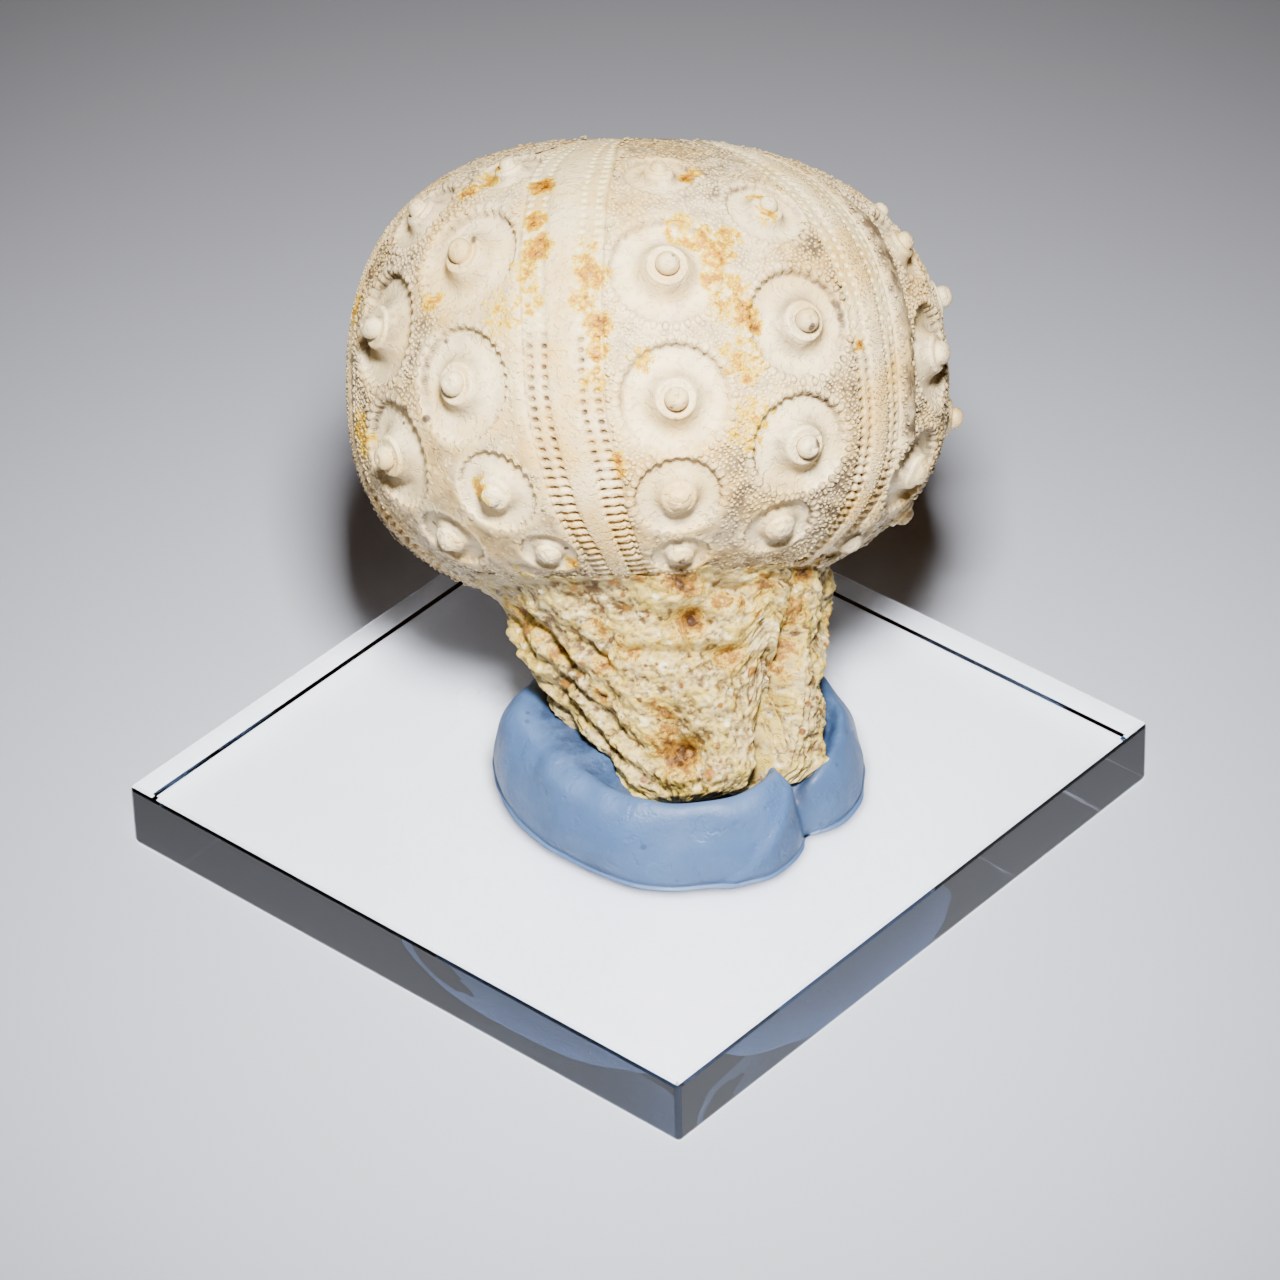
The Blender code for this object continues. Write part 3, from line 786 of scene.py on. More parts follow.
def crownPoints():
    # the crown's opening, filled with rough matrix: (key, place)
    keys, lifts = [], []
    for radius, lift, count in fossil["crownRings"]:
        angle = turns(count)
        reach = radius * fossil["crownHole"] * (1 + 0.05 * np.cos(5 * angle + 0.8) + 0.02 * np.sin(9 * angle))
        level = np.full(count, fossil["crownLevel"])
        keys.append(ontoGlobe(np.column_stack([reach * np.sin(angle), -reach * np.cos(angle), level])))
        lifts.append(lift + 0.25 * (radius < 0.95) * (random.random(count) - 0.5))
    keys = np.concatenate(keys)
    return keys, keys + globeNormals(keys) * np.concatenate(lifts)[:, None]


def makeShell(material):
    ringKeys, ringPlaces, ringDirtAndShade = ringPoints()
    bandKeys, bandPlaces, bandDirtAndShade, bandFill = bandPoints()
    fill = fillPoints(fossil["platePoints"])
    free = (nearestTubercle(fill)[1] > 4.36) & (np.abs(bandOffsets(fill)[1]) > 2.95)
    fill = fill[free & freeOf(fill, 1.25, 0.2)]
    fillPlaces = fill + globeNormals(fill) * plateRelief(fill)[:, None]
    crownKeys, crownPlaces = crownPoints()

    # the foot's edge, closed underneath where the stem hides it
    edgeCount = fossil["edgePoints"]
    edge = globePoints(360 * np.arange(edgeCount) / edgeCount, np.full(edgeCount, -fossil["footCut"]))

    keys = np.concatenate([ringKeys, bandKeys, fill, crownKeys, edge])
    places = np.concatenate([ringPlaces, bandPlaces, fillPlaces, crownPlaces, edge])
    soilAndShading = soilAndShadeShare(keys)
    rest = len(crownKeys) + edgeCount
    plateDirtAndShade = soilAndShading[-rest - len(fill):-rest] * 0.75 + 0.1
    # soil and painted shade for every point of the shell
    soilAndShade = np.concatenate([ringDirtAndShade, bandDirtAndShade, plateDirtAndShade, np.full(rest, 0.5)])
    soilAndShade[:len(ringDirtAndShade)] *= 0.55 + 0.6 * soilAndShading[:len(ringDirtAndShade)]
    filled = np.concatenate([np.zeros(len(ringKeys)), bandFill, np.zeros(len(fill) + rest)])
    rims = smoothStep(3.5, 4.1, nearestTubercle(keys)[1])
    warmth = 0.10 + 0.50 * rims * (1 - 0.6 * smoothStep(8, 15, keys[:, 2]))

    # spread on a plane from the foot's pole, joined there into triangles
    direction = keys / lengths(keys)[:, None]
    flat = direction[:, :2] / (1 + direction[:, 2:3])
    _, _, faces, sources, _, _ = delaunay_2d_cdt([Vector(p) for p in flat.tolist()], [], [], 0, 1e-9)
    order = np.array([source[0] for source in sources])
    first = len(places) - edgeCount
    cap = [(first + (i + 1) % edgeCount, first + i, len(places)) for i in range(edgeCount)]
    faces = np.vstack([order[np.array(faces)], cap])
    points = np.vstack([places, [[0, 0, -fossil["footCut"]]]])
    stain = patches(keys, marks["stains"])
    attributes = {"soilAndShade": soilAndShade, "filling": filled, "stain": stain, "warmth": warmth}
    attributes = {key: np.append(values, 0.0) for key, values in attributes.items()}
    return meshPiece("fossil_shell", tapered(points), faces, attributes, material)


shell = makeShell(makeShellFinish("fossil shell"))
print("shell", len(shell.data.polygons))


def makeKnobs(material):
    points, faces, neckShade, tips = [], [], [], []
    count = tubercles["knobPoints"]
    fresh, worn = np.array(tubercles["knob"]), np.array(tubercles["wornKnob"])
    for index, middle in enumerate(tubercleMiddles):
        size = tubercleSizes[index] ** 0.85
        wear = tubercleWear[index]
        normal = tubercleNormals[index]
        out = aroundTubercle(index, turns(count))
        lean = random.normal(0, 0.03, 3)
        faces.append(len(neckShade) + halved(ringFaces(len(fresh), count)))
        for radius, height in fresh * (1 - wear) + worn * wear:
            ring = middle + out * radius * size + normal * height * size + lean * max(0, height) ** 2
            rough = fractalAt(ring * 2.2, 1.0, 0.9, 2.0, 3) * (0.02 + 0.07 * wear) * (radius < 1.42)
            points.append(ring + normal * rough[:, None])
            # painted shade under the knob's rounded top, where it narrows into its neck
            neckShade.extend([float(bell(radius, 0.73, 0.05)) * (height < 0.55) * (1 - wear)] * count)
            tips.extend([float(height > 0.9)] * count)
    points = np.vstack(points)
    soilAndShade = np.array(neckShade) * 0.9 + 0.25 * soilAndShadeShare(points) * np.array(tips)
    # painted shade in the pits of the knobs
    soilAndShade = np.maximum(soilAndShade, 1.4 * patches(ontoGlobe(points), tubercles["pits"]))
    attributes = {"soilAndShade": soilAndShade, "stain": patches(points, marks["stains"]), "warmth": np.full(len(points), 0.25)}
    return meshPiece("tubercle_knobs", tapered(points), np.vstack(faces), attributes, material)


knobs = makeKnobs(makeShellFinish("tubercle knobs"))
print("knobs", len(knobs.data.polygons))


# beads round the rings, and granules all over the plates
beading = {
    "beadRadius": 0.30,
    "beadHeight": 0.20,
    "beadSides": 9,
    # a bead or granule from its top outwards: (share of its radius, share of its height)
    "beadForm": ((0, 1.0), (0.45, 0.9), (0.78, 0.6), (1.0, 0.0)),
    "granuleSpacing": 0.345,
    "granuleHeight": 0.15,
    "granuleSides": 6,
    "granuleForm": ((0, 1.0), (0.6, 0.76), (1.0, 0.0)),
    # where a granule is worn more than this nothing is left of it
    "gone": 0.88,
}


def domes(name, feet, normals, radii, heights, stretch, tones, kind, material):
    # small closed-over domes in one mesh; stretch is a vector along which each is longer
    form, sides = beading[kind + "Form"], beading[kind + "Sides"]
    across = np.cross(normals, stretch)
    across /= np.maximum(lengths(across), 1e-9)[:, None]
    along = np.cross(across, normals)
    longer = np.clip(lengths(stretch), 1, None)
    points, tips = [], []
    for share, lift in form:
        for turn in range(sides if share > 0 else 1):
            angle = 2 * math.pi * (turn + 0.5 * (len(points) % 2)) / sides
            shift = along * (math.cos(angle) * radii * longer * share)[:, None]
            shift = shift + across * (math.sin(angle) * radii * share)[:, None]
            points.append(feet + shift + normals * (heights * lift)[:, None])
            tips.append(np.full(len(feet), 1 - share if share < 1 else 0.0))
    perDome = len(points)
    placed = np.stack(points, axis=1).reshape(-1, 3)
    fan = [(0, 1 + turn, 1 + (turn + 1) % sides) for turn in range(sides)]
    local = np.vstack([fan, 1 + halved(ringFaces(len(form) - 1, sides))])
    faces = (local[None] + perDome * np.arange(len(feet))[:, None, None]).reshape(-1, 3)
    tip = np.stack(tips, axis=1).reshape(-1)
    return meshPiece(name, tapered(placed), faces, {
        "tip": tip,
        # painted shade round the foot of each dome, between the granules, with the soil there
        "soilAndShade": (1 - tip) ** 2 * np.repeat(soilAndShadeShare(feet), perDome),
        "tone": np.repeat(tones, perDome),
        "stain": np.repeat(patches(feet, marks["stains"]), perDome),
        "warmth": np.full(len(placed), 0.45),
    }, material)


def makeBeads(material):
    made = [], [], [], []
    for index, middle in enumerate(tubercleMiddles):
        size = tubercleSizes[index]
        count = scallopCount(size)
        angle = (2 * np.pi * (np.arange(count) + 0.5) - index) / count + random.normal(0, 0.015, count)
        out = aroundTubercle(index, angle)
        away = tubercles["ringRadius"] * size + 0.30 + random.normal(0, 0.03, count)
        spot = ontoGlobe(middle + out * away[:, None])
        mine = (nearestTubercle(spot)[0] == index) & (np.abs(bandOffsets(spot)[1]) > 2.9)
        mine &= spot[:, 2] > -fossil["footCut"] + 0.3
        fade = (1 - 0.93 * wornShare(spot)) * (0.65 + 0.5 * random.random(count))
        radius = beading["beadRadius"] * (0.75 + 0.25 * size) * (0.85 + 0.25 * random.random(count))
        for part, values in zip(made, (spot, out * 1.2, radius, beading["beadHeight"] * fade)):
            part.append(values[mine])
    feet, stretch, radii, heights = (np.concatenate(part) for part in made)
    normals = globeNormals(feet)
    seats = feet + normals * (bandOrPlateRelief(feet) - 0.03)[:, None]
    tones = random.random(len(feet))
    return feet, domes("rim_beads", seats, normals, radii, heights, stretch, tones, "bead", material)


def makeGranules(beadFeet, material):
    spacing = beading["granuleSpacing"]
    feet = fillPoints(int(1.1547 * 2 * math.pi * wayAreas[-1] / spacing**2))
    band, across = bandOffsets(feet)
    far = np.abs(across)
    keep = ((beyondRing(feet) > 0.22) & (far > 2.86)) | (far < 0.88)
    keep &= ridgeShare(feet, band, across) < 0.45
    feet = feet[keep & freeOf(feet, 1.14, 0.1)]
    tree = kdtree.KDTree(len(beadFeet))
    for index, foot in enumerate(beadFeet.tolist()):
        tree.insert(foot, index)
    tree.balance()
    gap = np.array([tree.find(foot)[2] for foot in feet.tolist()])
    feet = feet[gap > 0.34]
    feet = feet[wornShare(feet) * (0.85 + 0.3 * random.random(len(feet))) < beading["gone"]]
    band, across = bandOffsets(feet)
    inBand = np.abs(across) < 1
    size = 0.86 + 0.28 * bell(beyondRing(feet), 0.5, 0.5) + random.normal(0, 0.09, len(feet))
    size *= np.where(inBand, 0.85, 1.0)
    radii = np.clip(size, 0.55, 1.3) * spacing * 0.5
    fade = (1 - 0.82 * wornShare(feet)) * (0.75 + 0.35 * random.random(len(feet)))
    fade *= np.where(inBand & (band == 0), 0.75, 1.0)
    normals = globeNormals(feet)
    seats = feet + normals * (bandOrPlateRelief(feet) - 0.02)[:, None]
    heights = beading["granuleHeight"] * fade * np.clip(size, 0.6, 1.3)
    stretch = np.cross(normals, random.normal(0, 1, (len(feet), 3)))
    stretch *= (1.1 / np.maximum(lengths(stretch), 1e-6))[:, None]
    tones = random.random(len(feet))
    sector = (longitudes(feet) + 16) % 360 // 72
    made = []
    for number in range(5):
        rows = (values[sector == number] for values in (seats, normals, radii, heights, stretch, tones))
        made.append(domes("granules_" + str(number + 1), *rows, "granule", material))
    return made


granuleFinish = makeShellFinish("granules", grained=True)
beadFeet, beads = makeBeads(granuleFinish)
granules = makeGranules(beadFeet, granuleFinish)
print("beads", len(beads.data.polygons), "granules", [len(piece.data.polygons) for piece in granules])


stem = {
    # (height, half width, half depth, middle X, middle Y)
    "rows": (
        (-12.55, 11.75, 11.7, 0.1, 0.0), (-13.0, 11.5, 11.1, 0.4, 0.0), (-13.6, 11.3, 10.5, 0.7, 0.0),
        (-14.4, 11.1, 10.1, 1.0, 0.0), (-16.0, 10.6, 9.7, 1.4, 0.0),
        (-18.0, 10.1, 9.0, 1.6, 0.0), (-20.0, 9.4, 8.3, 1.9, -0.1), (-22.0, 8.5, 7.6, 2.5, -0.2),
        (-24.0, 7.8, 7.2, 3.2, -0.2), (-26.0, 7.0, 6.5, 3.6, -0.4), (-27.4, 5.6, 5.3, 3.5, -0.8),
        (-27.9, 3.2, 3.4, 2.6, -1.4),
    ),
    "slant": 0.36,
    # between body and right lobe: (direction, half width in degrees, how much shorter)
    "notch": (-53, 7.5, 0.30),
    # broken forms: (direction, height, half width, half height, how far out in mm, turn)
    # a direction of -90 faces the viewer
    "forms": (
        (-83, -15.5, 0.95, 0.75, -1.9, 20), (-90, -17.7, 3.4, 0.55, -1.0, -4), (-73, -18.4, 1.7, 0.5, -0.9, 18),
        (-92, -20.3, 3.2, 1.9, 0.8, 0), (-146, -16.8, 1.3, 0.5, -1.3, -50), (-123, -17.6, 1.5, 0.45, -0.6, -50),
        (-131, -20.3, 0.4, 0.4, -0.9, 0), (-106, -24.6, 2.1, 0.85, -2.0, 4), (-110, -26.3, 2.4, 0.5, 0.6, 0),
        (-41, -18.0, 0.85, 1.5, -2.3, -8), (-46, -21.6, 0.65, 2.8, -1.9, -6), (-58, -25.6, 1.0, 1.7, -2.2, 0),
        (-28, -22.4, 1.5, 4.0, 0.9, 0), (-17, -26.2, 1.0, 1.4, 1.2, 0), (-66, -13.8, 1.1, 0.45, -1.0, 0),
        (-47, -13.3, 0.9, 0.4, -0.8, 0), (-134, -15.0, 1.9, 0.8, 0.6, -40), (-160, -15.0, 1.6, 1.0, -0.7, -20),
        (-150, -20.5, 2.5, 2.6, -0.9, 0), (-100, -13.9, 3.0, 0.7, 0.5, 3), (-12, -16.0, 1.6, 1.2, -0.8, 0),
        (10, -19.0, 2.2, 1.4, -1.1, 30), (40, -16.0, 2.6, 1.0, 0.7, -20), (62, -21.5, 2.4, 1.3, -1.2, 10),
        (95, -17.5, 3.0, 1.2, -1.0, -25), (120, -22.5, 2.4, 1.6, 0.8, 0), (150, -16.5, 2.4, 1.0, -1.0, 35),
        (172, -20.5, 2.0, 1.8, 0.7, -30), (80, -25.5, 1.8, 1.0, -0.9, 0), (140, -26.0, 2.0, 0.8, -0.8, 20),
    ),
    # rusty and brown places: (direction, height, reach in mm, how strong); the strongest lie in the pits, the
    # cleft and the recess of the broken forms, and their dark brown there is painted shade besides rust
    "stains": (
        (-83, -15.6, 0.75, 1.3), (-87, -16.0, 1.1, 0.7), (-104, -21.6, 0.8, 0.85), (-106, -23.1, 0.7, 0.9),
        (-108, -24.6, 1.5, 1.2), (-101, -24.6, 1.0, 1.0), (-83, -12.9, 1.3, 0.9), (-55, -13.7, 0.9, 0.9),
        (-33, -13.0, 0.8, 0.9), (-60, -16.0, 0.5, 0.8), (-65, -14.8, 0.5, 0.7), (-69, -18.3, 0.9, 0.75),
        (-146, -16.8, 0.9, 0.9), (-131, -20.3, 0.5, 0.9), (-160, -15.0, 1.7, 0.6), (-41, -18.2, 0.9, 1.1),
        (-43, -19.8, 0.7, 0.8), (-38, -15.5, 0.9, 0.9), (-110, -17.3, 0.8, 0.6), (-118, -15.6, 0.7, 0.6),
        (-122, -18.2, 0.8, 0.7), (-72, -14.6, 0.8, 0.6), (5, -17.0, 1.2, 0.8), (28, -21.0, 1.4, 0.7),
        (55, -15.0, 1.2, 0.8), (78, -19.5, 1.5, 0.8), (104, -15.5, 1.0, 0.9), (128, -20.0, 1.4, 0.7),
        (150, -17.0, 1.2, 0.9), (170, -22.5, 1.3, 0.7),
    ),
    "arc": 0.166,  # mm along the side for one degree
    # lip of matrix, downwards: (share of its height, how far off the shell, soil and painted shade); its dark
    # top rows are painted shade in the crease against the shell
    "lip": (
        (0.0, -0.30, 0.9), (0.06, -0.02, 0.9), (0.2, 0.10, 0.5), (0.4, 0.14, 0.3), (0.6, 0.16, 0.3),
        (0.8, 0.14, 0.3),
    ),
    "lipStains": -12.9,  # the height whose stains the lip takes on
    "sides": 450,
    "levels": 200,
}


def stemPlaces(angle, height, relief):
    rows = np.array(stem["rows"])[::-1]
    halfWidth, halfDepth, middleX, middleY = (np.interp(height, rows[:, 0], rows[:, i]) for i in range(1, 5))
    across = middleY + halfDepth * np.sin(angle)
    direction, spread, cut = stem["notch"]
    shorter = stem["slant"] * smoothStep(-3.0, 7.0, across)
    shorter = shorter + cut * bell(wrapped(np.degrees(angle)), direction, spread)
    top = stem["rows"][0][0]
    return np.column_stack([
        middleX + (halfWidth + relief) * np.cos(angle),
        middleY + (halfDepth + relief) * np.sin(angle),
        top + (height - top) * (1 - shorter),
    ])


def stemSpot(angle, height, direction, middle, half, tall, turn):
    # 1 in the middle of a spot on the rock's side, 0 away from it
    along = wrapped(np.degrees(angle) - direction) * stem["arc"]
    up = height - middle
    turn = math.radians(turn)
    first = (along * math.cos(turn) + up * math.sin(turn)) / half
    second = (up * math.cos(turn) - along * math.sin(turn)) / tall
    return np.exp(-(first**2) - second**2)


def stemForms(angle, height):
    relief = np.zeros(len(angle))
    for direction, middle, half, tall, reach, turn in stem["forms"]:
        relief += reach * stemSpot(angle, height, direction, middle, half, tall, turn)
    degrees = wrapped(np.degrees(angle))
    # slanting grooves on the left, fibrous striations on the right
    left = smoothStep(-112, -128, degrees) * smoothStep(-12.8, -14.5, height)
    grooves = (degrees * stem["arc"] * 0.75 + height * 0.65) * 2.9 + 0.8 * np.sin(height)
    relief += 0.26 * left * np.sin(grooves)
    fibre = bell(degrees, -46, 24) * smoothStep(-17.0, -20.0, height)
    strand = (degrees + 46) * stem["arc"] + 0.10 * (height + 22) ** 2 * np.sign(degrees + 46) * 0.35
    relief += 0.13 * fibre * np.sin(strand * 9.5 + 1.5 * np.sin(height * 0.7))
    return relief


rockLook = {
    "cream": (0.54, 0.405, 0.15),
    "lemon": (0.53, 0.36, 0.028),
    "white": (0.84, 0.76, 0.48),
    # colour of the soil and painted shade in the rock's hollows
    "ochre": (0.10, 0.048, 0.008),
    "stain": ((0.52, 0.34, 0.04), (0.25, 0.105, 0.006), (0.045, 0.016, 0.003)),
    # (colour, spacing in mm, share of the places that have one)
    "specks": (((0.17, 0.062, 0.004), 1.2, 0.7), ((0.25, 0.10, 0.002), 2.1, 0.8)),
    "roughness": 0.62,
    "grain": (0.34, 0.09, 0.05),
}


def makeRockFinish():
    material, tree, shader = newMaterial("rock matrix")
    colour = addGroup(tree, stoneGroup, {
        "Pale": rockLook["cream"], "Warm": rockLook["lemon"], "Grey": rockLook["white"],
        "Size": 2.4, "Warmth": 0.4,
    })["Color"]
    colour = addSpecks(tree, colour, rockLook["white"], 1.35, 0.6, 0.8)
    # soil, and painted shade in the hollows
    colour = addSoilAndShade(tree, colour, rockLook["ochre"], 0.8)["Color"]
    for speck, spacing, share in rockLook["specks"]:
        colour = addSpecks(tree, colour, speck, spacing, share)
    colour = addStain(tree, colour, rockLook["stain"], 0.8)
    tree.links.new(colour, shader.inputs["Base Color"])
    addRoughness(tree, shader, 0.6, rockLook["roughness"] - 0.2, rockLook["roughness"] + 0.15)
    addGrain(tree, shader, *rockLook["grain"])
    return material


def rockStains(angle, height):
    amount = np.zeros(len(angle))
    for direction, middle, reach, share in stem["stains"]:
        amount = np.maximum(amount, share * stemSpot(angle, height, direction, middle, reach, reach, 0))
    return amount


def makeStem(material):
    sides, levels = stem["sides"], stem["levels"]
    top, bottom = stem["rows"][0][0], stem["rows"][-1][0]
    angle = np.tile(turns(sides), levels)
    height = top + (bottom - top) * np.repeat(np.linspace(0, 1, levels), sides) ** 0.95
    around = np.column_stack([np.cos(angle) * 9.5, np.sin(angle) * 9.5, height])
    broad = fractalAt(around, 0.33, 0.8, 2.1, 4)
    grain = fractalAt(around, 3.2, 0.7, 2.2, 3)
    lumps = []
    for place in around.tolist():
        spot = Vector(place)
        lumps.append(0.55 - noise.voronoi(spot * 1.5 + noise.noise_vector(spot * 0.9) * 0.7)[0][0])
    lumps = np.array(lumps)
    degrees = wrapped(np.degrees(angle))
    smooth = 0.6 * bell(degrees, -46, 22) * smoothStep(-17, -20, height)
    forms = stemForms(angle, height)
    relief = forms + 0.70 * broad + (0.26 * lumps + 0.09 * grain) * (1 - smooth)
    places = stemPlaces(angle, height, relief)

    # a ragged lip of matrix that clings to the foot of the shell, higher on the left
    turn, turnDegrees = angle[:sides], degrees[:sides]
    circle = np.column_stack([np.cos(turn), np.sin(turn)])
    ragged = fractalAt(np.column_stack([circle * 5, np.full(sides, 2.0)]), 1.0, 0.7, 2.2, 5)
    lipTop = -12.15 + 0.5 * ragged + 0.8 * bell(turnDegrees, -150, 22) + 0.5 * bell(turnDegrees, -25, 16)
    lip = []
    for share, out, _ in stem["lip"]:
        level = lipTop * (1 - share) + (top + 0.06) * share
        close = fractalAt(np.column_stack([circle * 11.7, level]), 2.4, 0.7, 2.2, 3)
        reach = girth(np.maximum(level, -fossil["footCut"])) + out + (0.05 + 0.22 * close) * min(1, share * 5)
        lip.append(np.column_stack([reach * np.cos(turn), reach * np.sin(turn), level]))
    points = np.vstack([*lip, places, [[0.8, 0, -12.3]], [places[-sides:].mean(axis=0) - (0, 0, 0.2)]])

    levels += len(lip)
    first = np.arange(sides)
    after = (first + 1) % sides
    last = (levels - 1) * sides
    faces = np.vstack([
        halved(ringFaces(levels, sides)),
        np.column_stack([first, after, np.full(sides, len(points) - 2)]),
        np.column_stack([last + after, last + first, np.full(sides, len(points) - 1)]),
    ])

    # soil and painted shade in the rock's hollows, strongest in the recessed forms
    hollows = np.clip(0.34 - 1.3 * lumps - 1.0 * grain - 0.7 * broad, 0, 1)
    hollows = np.clip(hollows + np.clip(-0.55 * forms - 0.15, 0, 0.8), 0, 1)
    soilAndShade = np.concatenate([np.repeat([row[2] for row in stem["lip"]], sides), hollows, [0, 0]])
    lipStain = np.tile(rockStains(turn, np.full(sides, stem["lipStains"])), len(lip))
    stain = np.concatenate([lipStain, rockStains(angle, height), [0, 0]])
    return meshPiece("rock_matrix_stem", tapered(points), faces, {"soilAndShade": soilAndShade, "stain": stain}, material)


rock = makeStem(makeRockFinish())
print("stem", len(rock.data.polygons))


putty = {
    "centre": (2.0, -3.6),
    "foot": 4.98,
    "height": 5.7,
    # outline where it lies on the base: (direction, radius)
    "outline": (
        (-180, 12.0), (-165, 11.4), (-147, 10.9), (-117, 10.9), (-88, 11.6), (-68, 12.1), (-52, 12.2),
        (-40, 11.8), (-34, 11.2), (-28, 12.1), (-16, 13.0), (-5, 13.3), (12, 13.5), (28, 13.6),
        (48, 13.0), (72, 12.3), (104, 12.1), (140, 12.8), (165, 12.5), (180, 12.0),
    ),
    # from the middle to the rim and down: (radius against the outline, height at the front, at the sides)
    "profile": (
        (0.0, 0.25, 0.90), (0.42, 0.26, 0.92), (0.58, 0.30, 0.96), (0.67, 0.46, 0.99), (0.72, 0.78, 1.0),
        (0.765, 0.95, 0.99), (0.81, 0.985, 0.96), (0.855, 0.93, 0.90), (0.90, 0.80, 0.80), (0.94, 0.60, 0.64),
        (0.968, 0.42, 0.46), (0.985, 0.27, 0.29), (0.99, 0.14, 0.14), (0.98, 0.05, 0.05), (0.96, 0.0, 0.0),
        (0.5, 0.0, 0.0), (0.0, 0.0, 0.0),
    ),
    "sides": 280,
    "levels": 100,
    "colour": (0.048, 0.100, 0.215),
    "dusty": (0.080, 0.130, 0.225),
    # darker blue for the painted shade in the fold and round the stem, and for the specks
    "deep": (0.018, 0.036, 0.082),
    "grain": (0.9, 0.08, 0.03),
}


def makePuttyFinish():
    material, tree, shader = newMaterial("blue putty")
    cloudy = ranged(tree, noiseAt(tree, 5.0, 4.0), 0.35, 0.75)
    colour = mixColours(tree, mathNode(tree, "MULTIPLY", cloudy, 0.35), putty["colour"], putty["dusty"])
    # painted shade in the fold and inside the collar
    colour = addSoilAndShade(tree, colour, putty["deep"], 2.0)["Color"]
    colour = addSpecks(tree, colour, putty["deep"], 1.1, 0.12, 0.6)
    tree.links.new(colour, shader.inputs["Base Color"])
    addRoughness(tree, shader, 3.0, 0.42, 0.62)
    addGrain(tree, shader, *putty["grain"])
    return material


def makePutty(material):
    sides, levels = putty["sides"], putty["levels"]
    profile = np.array(putty["profile"])
    steps = np.linspace(0, len(profile) - 1, levels)
    radii, front, side = (np.clip(curveThrough(enumerate(column), steps), 0, None) for column in profile.T)
    radii[-1] = radii[0] = 0.0005
    angle = turns(sides)
    degrees = wrapped(np.degrees(angle))
    outline = curveThrough(putty["outline"], degrees)
    ahead = bell(degrees, -75, 42)
    points, soils = [], []
    for radius, low, high in zip(radii, front, side):
        height = (low * ahead + high * (1 - ahead)) * putty["height"]
        reach = radius * outline
        upper = smoothStep(0.5, 0.8, radius) * (height > 0.02)
        # the outer lobe is folded against the rest: a groove between them
        fold = bell(reach, 10.5 + 0.02 * degrees, 0.9)
        fold = fold * smoothStep(-40, -33, degrees) * smoothStep(30, 6, degrees)
        height = height - 2.0 * fold * upper * (reach > 7)
        # a crease runs up the front, with a fuller facet on its right
        crease = -74 + 26 * height / 4.3
        step = smoothStep(-3.0, 3.5, degrees - crease) * np.exp(-np.maximum(degrees - crease, 0) / 18)
        reach = reach + 0.34 * step * smoothStep(0.5, 0.8, radius) * (degrees < -30)
        # a soft ridge where it was pinched on the left
        pinch = bell(degrees, 178 - 360 * (degrees < 0), 16) * bell(radius, 0.83, 0.06)
        height = height + 0.35 * pinch
        around = np.column_stack([reach * np.cos(angle) * 0.2, reach * np.sin(angle) * 0.2, height * 0.2])
        lump = fractalAt(around, 1.0, 0.9, 2.0, 2)
        press = np.sin(degrees / 9.5 + 1.3) * bell(radius, 0.9, 0.07) * 0.10
        reach = reach + (0.38 * lump + press) * smoothStep(0.3, 0.9, radius)
        height = np.where(height > 0.02, np.maximum(height * (1 + 0.10 * lump), 0.03), 0)
        points.append(np.column_stack([
            putty["centre"][0] + reach * np.cos(angle),
            putty["centre"][1] + reach * np.sin(angle),
            putty["foot"] + height,
        ]))
        # painted shade in the fold's groove and inside the collar round the stem, over a faint overall
        # darkening
        innerShade = smoothStep(0.8, 0.66, radius) * (height > 0.02)
        soils.append(np.clip(1.2 * fold * upper + 0.7 * innerShade + 0.15, 0, 1))
    soilAndShade = {"soilAndShade": np.concatenate(soils)}
    return meshPiece("blue_putty", np.vstack(points), ringFaces(levels, sides), soilAndShade, material, placed=False)


collar = makePutty(makePuttyFinish())
print("putty", len(collar.data.polygons))


base = {
    "tint": (1.0, 1.0, 1.0),
    "sideShadeTint": (0.26, 0.285, 0.34),
    "clearness": 1.0,
    "roughness": 0.012,
    "ior": 1.49,
}


def makeBaseFinish():
    material, tree, shader = newMaterial("clear acrylic")
    # clear from above; painted shade darkens the cut edges, by the way they face
    facing = addNode(tree, "SeparateXYZ", {0: addNode(tree, "NewGeometry").outputs["True Normal"]}).outputs[2]
    level = ranged(tree, mathNode(tree, "ABSOLUTE", facing), 0.5, 0.9)
    dust = ranged(tree, noiseAt(tree, 14.0, 5.0), 0.3, 0.7, 0.9, 1.0)
    colour = mixColours(tree, mathNode(tree, "MULTIPLY", level, dust), base["sideShadeTint"], base["tint"])
    tree.links.new(colour, shader.inputs["Base Color"])
    shader.inputs["Transmission Weight"].default_value = base["clearness"]
    shader.inputs["IOR"].default_value = base["ior"]
    smear = ranged(tree, noiseAt(tree, 9.0, 5.0), 0.5, 0.8, base["roughness"], base["roughness"] + 0.05)
    tree.links.new(smear, shader.inputs["Roughness"])
    ripple = mathNode(tree, "MULTIPLY", noiseAt(tree, 12.0, 2.0), 0.02)
    addBump(tree, shader, ripple)
    return material


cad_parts["clear_base"].visible_shadow = False
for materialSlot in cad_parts["clear_base"].material_slots:
    materialSlot.material = makeBaseFinish()
print("base")

for piece, node, slot in (
    (shell, "urchin_shell", "fossil_shell"),
    (knobs, "urchin_shell", "fossil_shell"),
    (beads, "urchin_shell", "fossil_shell"),
    *((piece, "urchin_shell", "fossil_shell") for piece in granules),
    (rock, "rock_stem", "limestone"),
    (collar, "putty_collar", "putty"),
):
    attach(piece, "root")
    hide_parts(node)


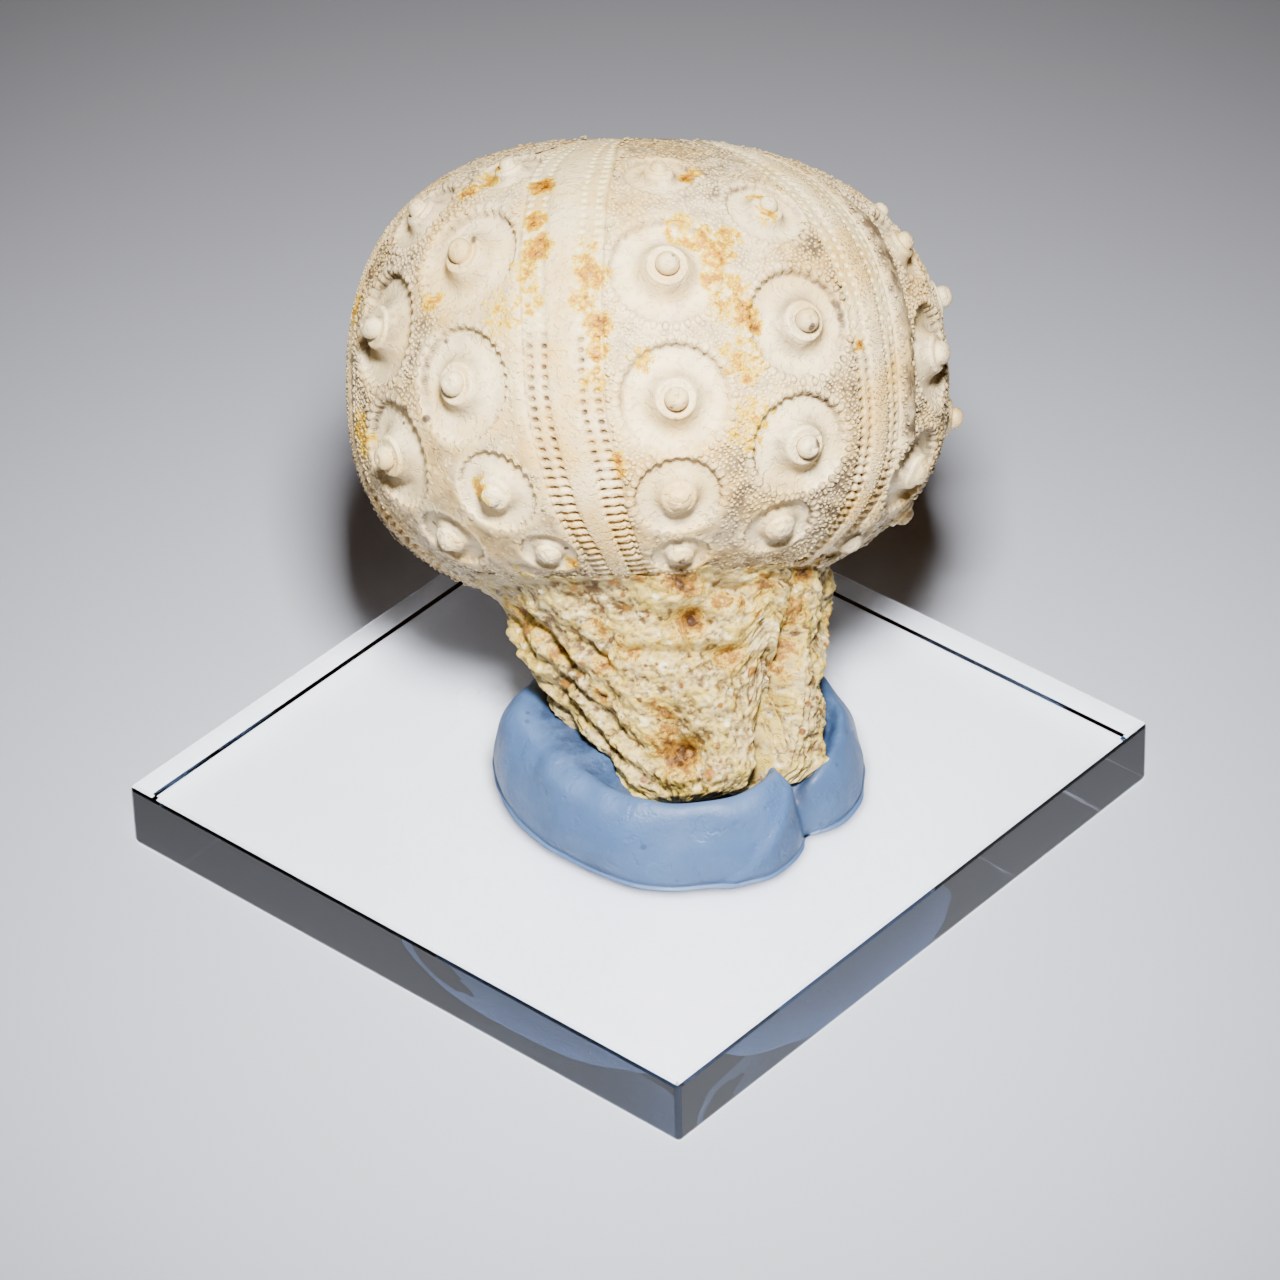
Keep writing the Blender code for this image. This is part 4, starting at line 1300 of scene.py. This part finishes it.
studio = {
    "floorColour": (0.42, 0.437, 0.487),
    "floorShade": (0.34, 0.34, 0.37),
    "floorSize": 3.0,
    "floorLevel": -0.05,  # in mm, just under the base
    "aim": (0, -0.01, 0.02),
    "lights": (
        # (direction from the front, elevation, distance in metres, size, power)
        (3, 59, 0.225, 0.034, 0.197),
        (-30, 36, 0.42, 0.16, 0.012),
    ),
    "spread": 52,
    "ambient": 0.03,
    "ambientColour": (1.0, 0.42, 0.12),
}


def makeFloorFinish():
    material, tree, shader = newMaterial("pale floor")
    # painted shade: paler in front, darker towards the back, as the light falls off
    depth = addNode(tree, "SeparateXYZ", {0: addNode(tree, "TexCoord").outputs["Object"]}).outputs[1]
    cloud = ranged(tree, noiseAt(tree, 30.0, 5.0), 0.3, 0.7, -0.03, 0.03)
    share = mathNode(tree, "ADD", ranged(tree, depth, -0.06, 0.17), cloud, clamp=True)
    colour = mixColours(tree, share, studio["floorColour"], studio["floorShade"])
    tree.links.new(colour, shader.inputs["Base Color"])
    shader.inputs["Roughness"].default_value = 0.75
    return material


floorMesh = bmesh.new()
bmesh.ops.create_grid(floorMesh, x_segments=1, y_segments=1, size=studio["floorSize"] / 2)
floorData = bpy.data.meshes.new("floor")
floorMesh.to_mesh(floorData)
floorMesh.free()
floorData.materials.append(makeFloorFinish())
floor = bpy.data.objects.new("floor", floorData)
floor.location.z = studio["floorLevel"] * mm
bpy.context.scene.collection.objects.link(floor)

for number, (side, elevation, distance, size, power) in enumerate(studio["lights"]):
    name = "soft light " + str(number + 1)
    lamp = bpy.data.lights.new(name, "AREA")
    lamp.size = size
    lamp.energy = power
    lamp.spread = math.radians(studio["spread"])
    side, elevation = math.radians(side), math.radians(elevation)
    place = distance * Vector((
        math.cos(elevation) * math.sin(side), -math.cos(elevation) * math.cos(side), math.sin(elevation)
    ))
    holder = bpy.data.objects.new(name, lamp)
    holder.location = place
    holder.rotation_euler = (Vector(studio["aim"]) - place).to_track_quat("-Z", "Y").to_euler()
    bpy.context.scene.collection.objects.link(holder)

world = bpy.data.worlds.new("studio")
world.use_nodes = True
world.node_tree.nodes["Background"].inputs["Color"].default_value = (*studio["ambientColour"], 1)
world.node_tree.nodes["Background"].inputs["Strength"].default_value = studio["ambient"]
bpy.context.scene.world = world

camera = {
    "elevation": 37.03,
    "roll": -1.79,
    "distance": 482.05,  # from the base's top, in mm
    "rise": 7.85,
    "lens": 195.98,
}
tilt = math.radians(camera["elevation"])
roll = math.radians(camera["roll"])
look = Vector((0, math.cos(tilt), -math.sin(tilt)))
right = Vector((1, 0, 0)) * math.cos(roll) + Vector((0, math.sin(tilt), math.cos(tilt))) * math.sin(roll)
above = right.cross(look)
place = (Vector((0, 0, 5)) - look * camera["distance"] + above * camera["rise"]) * mm
lens = bpy.data.cameras.new("camera")
lens.sensor_width = 36
lens.lens = camera["lens"]
viewer = bpy.data.objects.new("camera", lens)
viewer.matrix_world = Matrix((
    (right.x, above.x, -look.x, place.x),
    (right.y, above.y, -look.y, place.y),
    (right.z, above.z, -look.z, place.z),
    (0, 0, 0, 1),
))
bpy.context.scene.collection.objects.link(viewer)
bpy.context.scene.camera = viewer
print("studio")
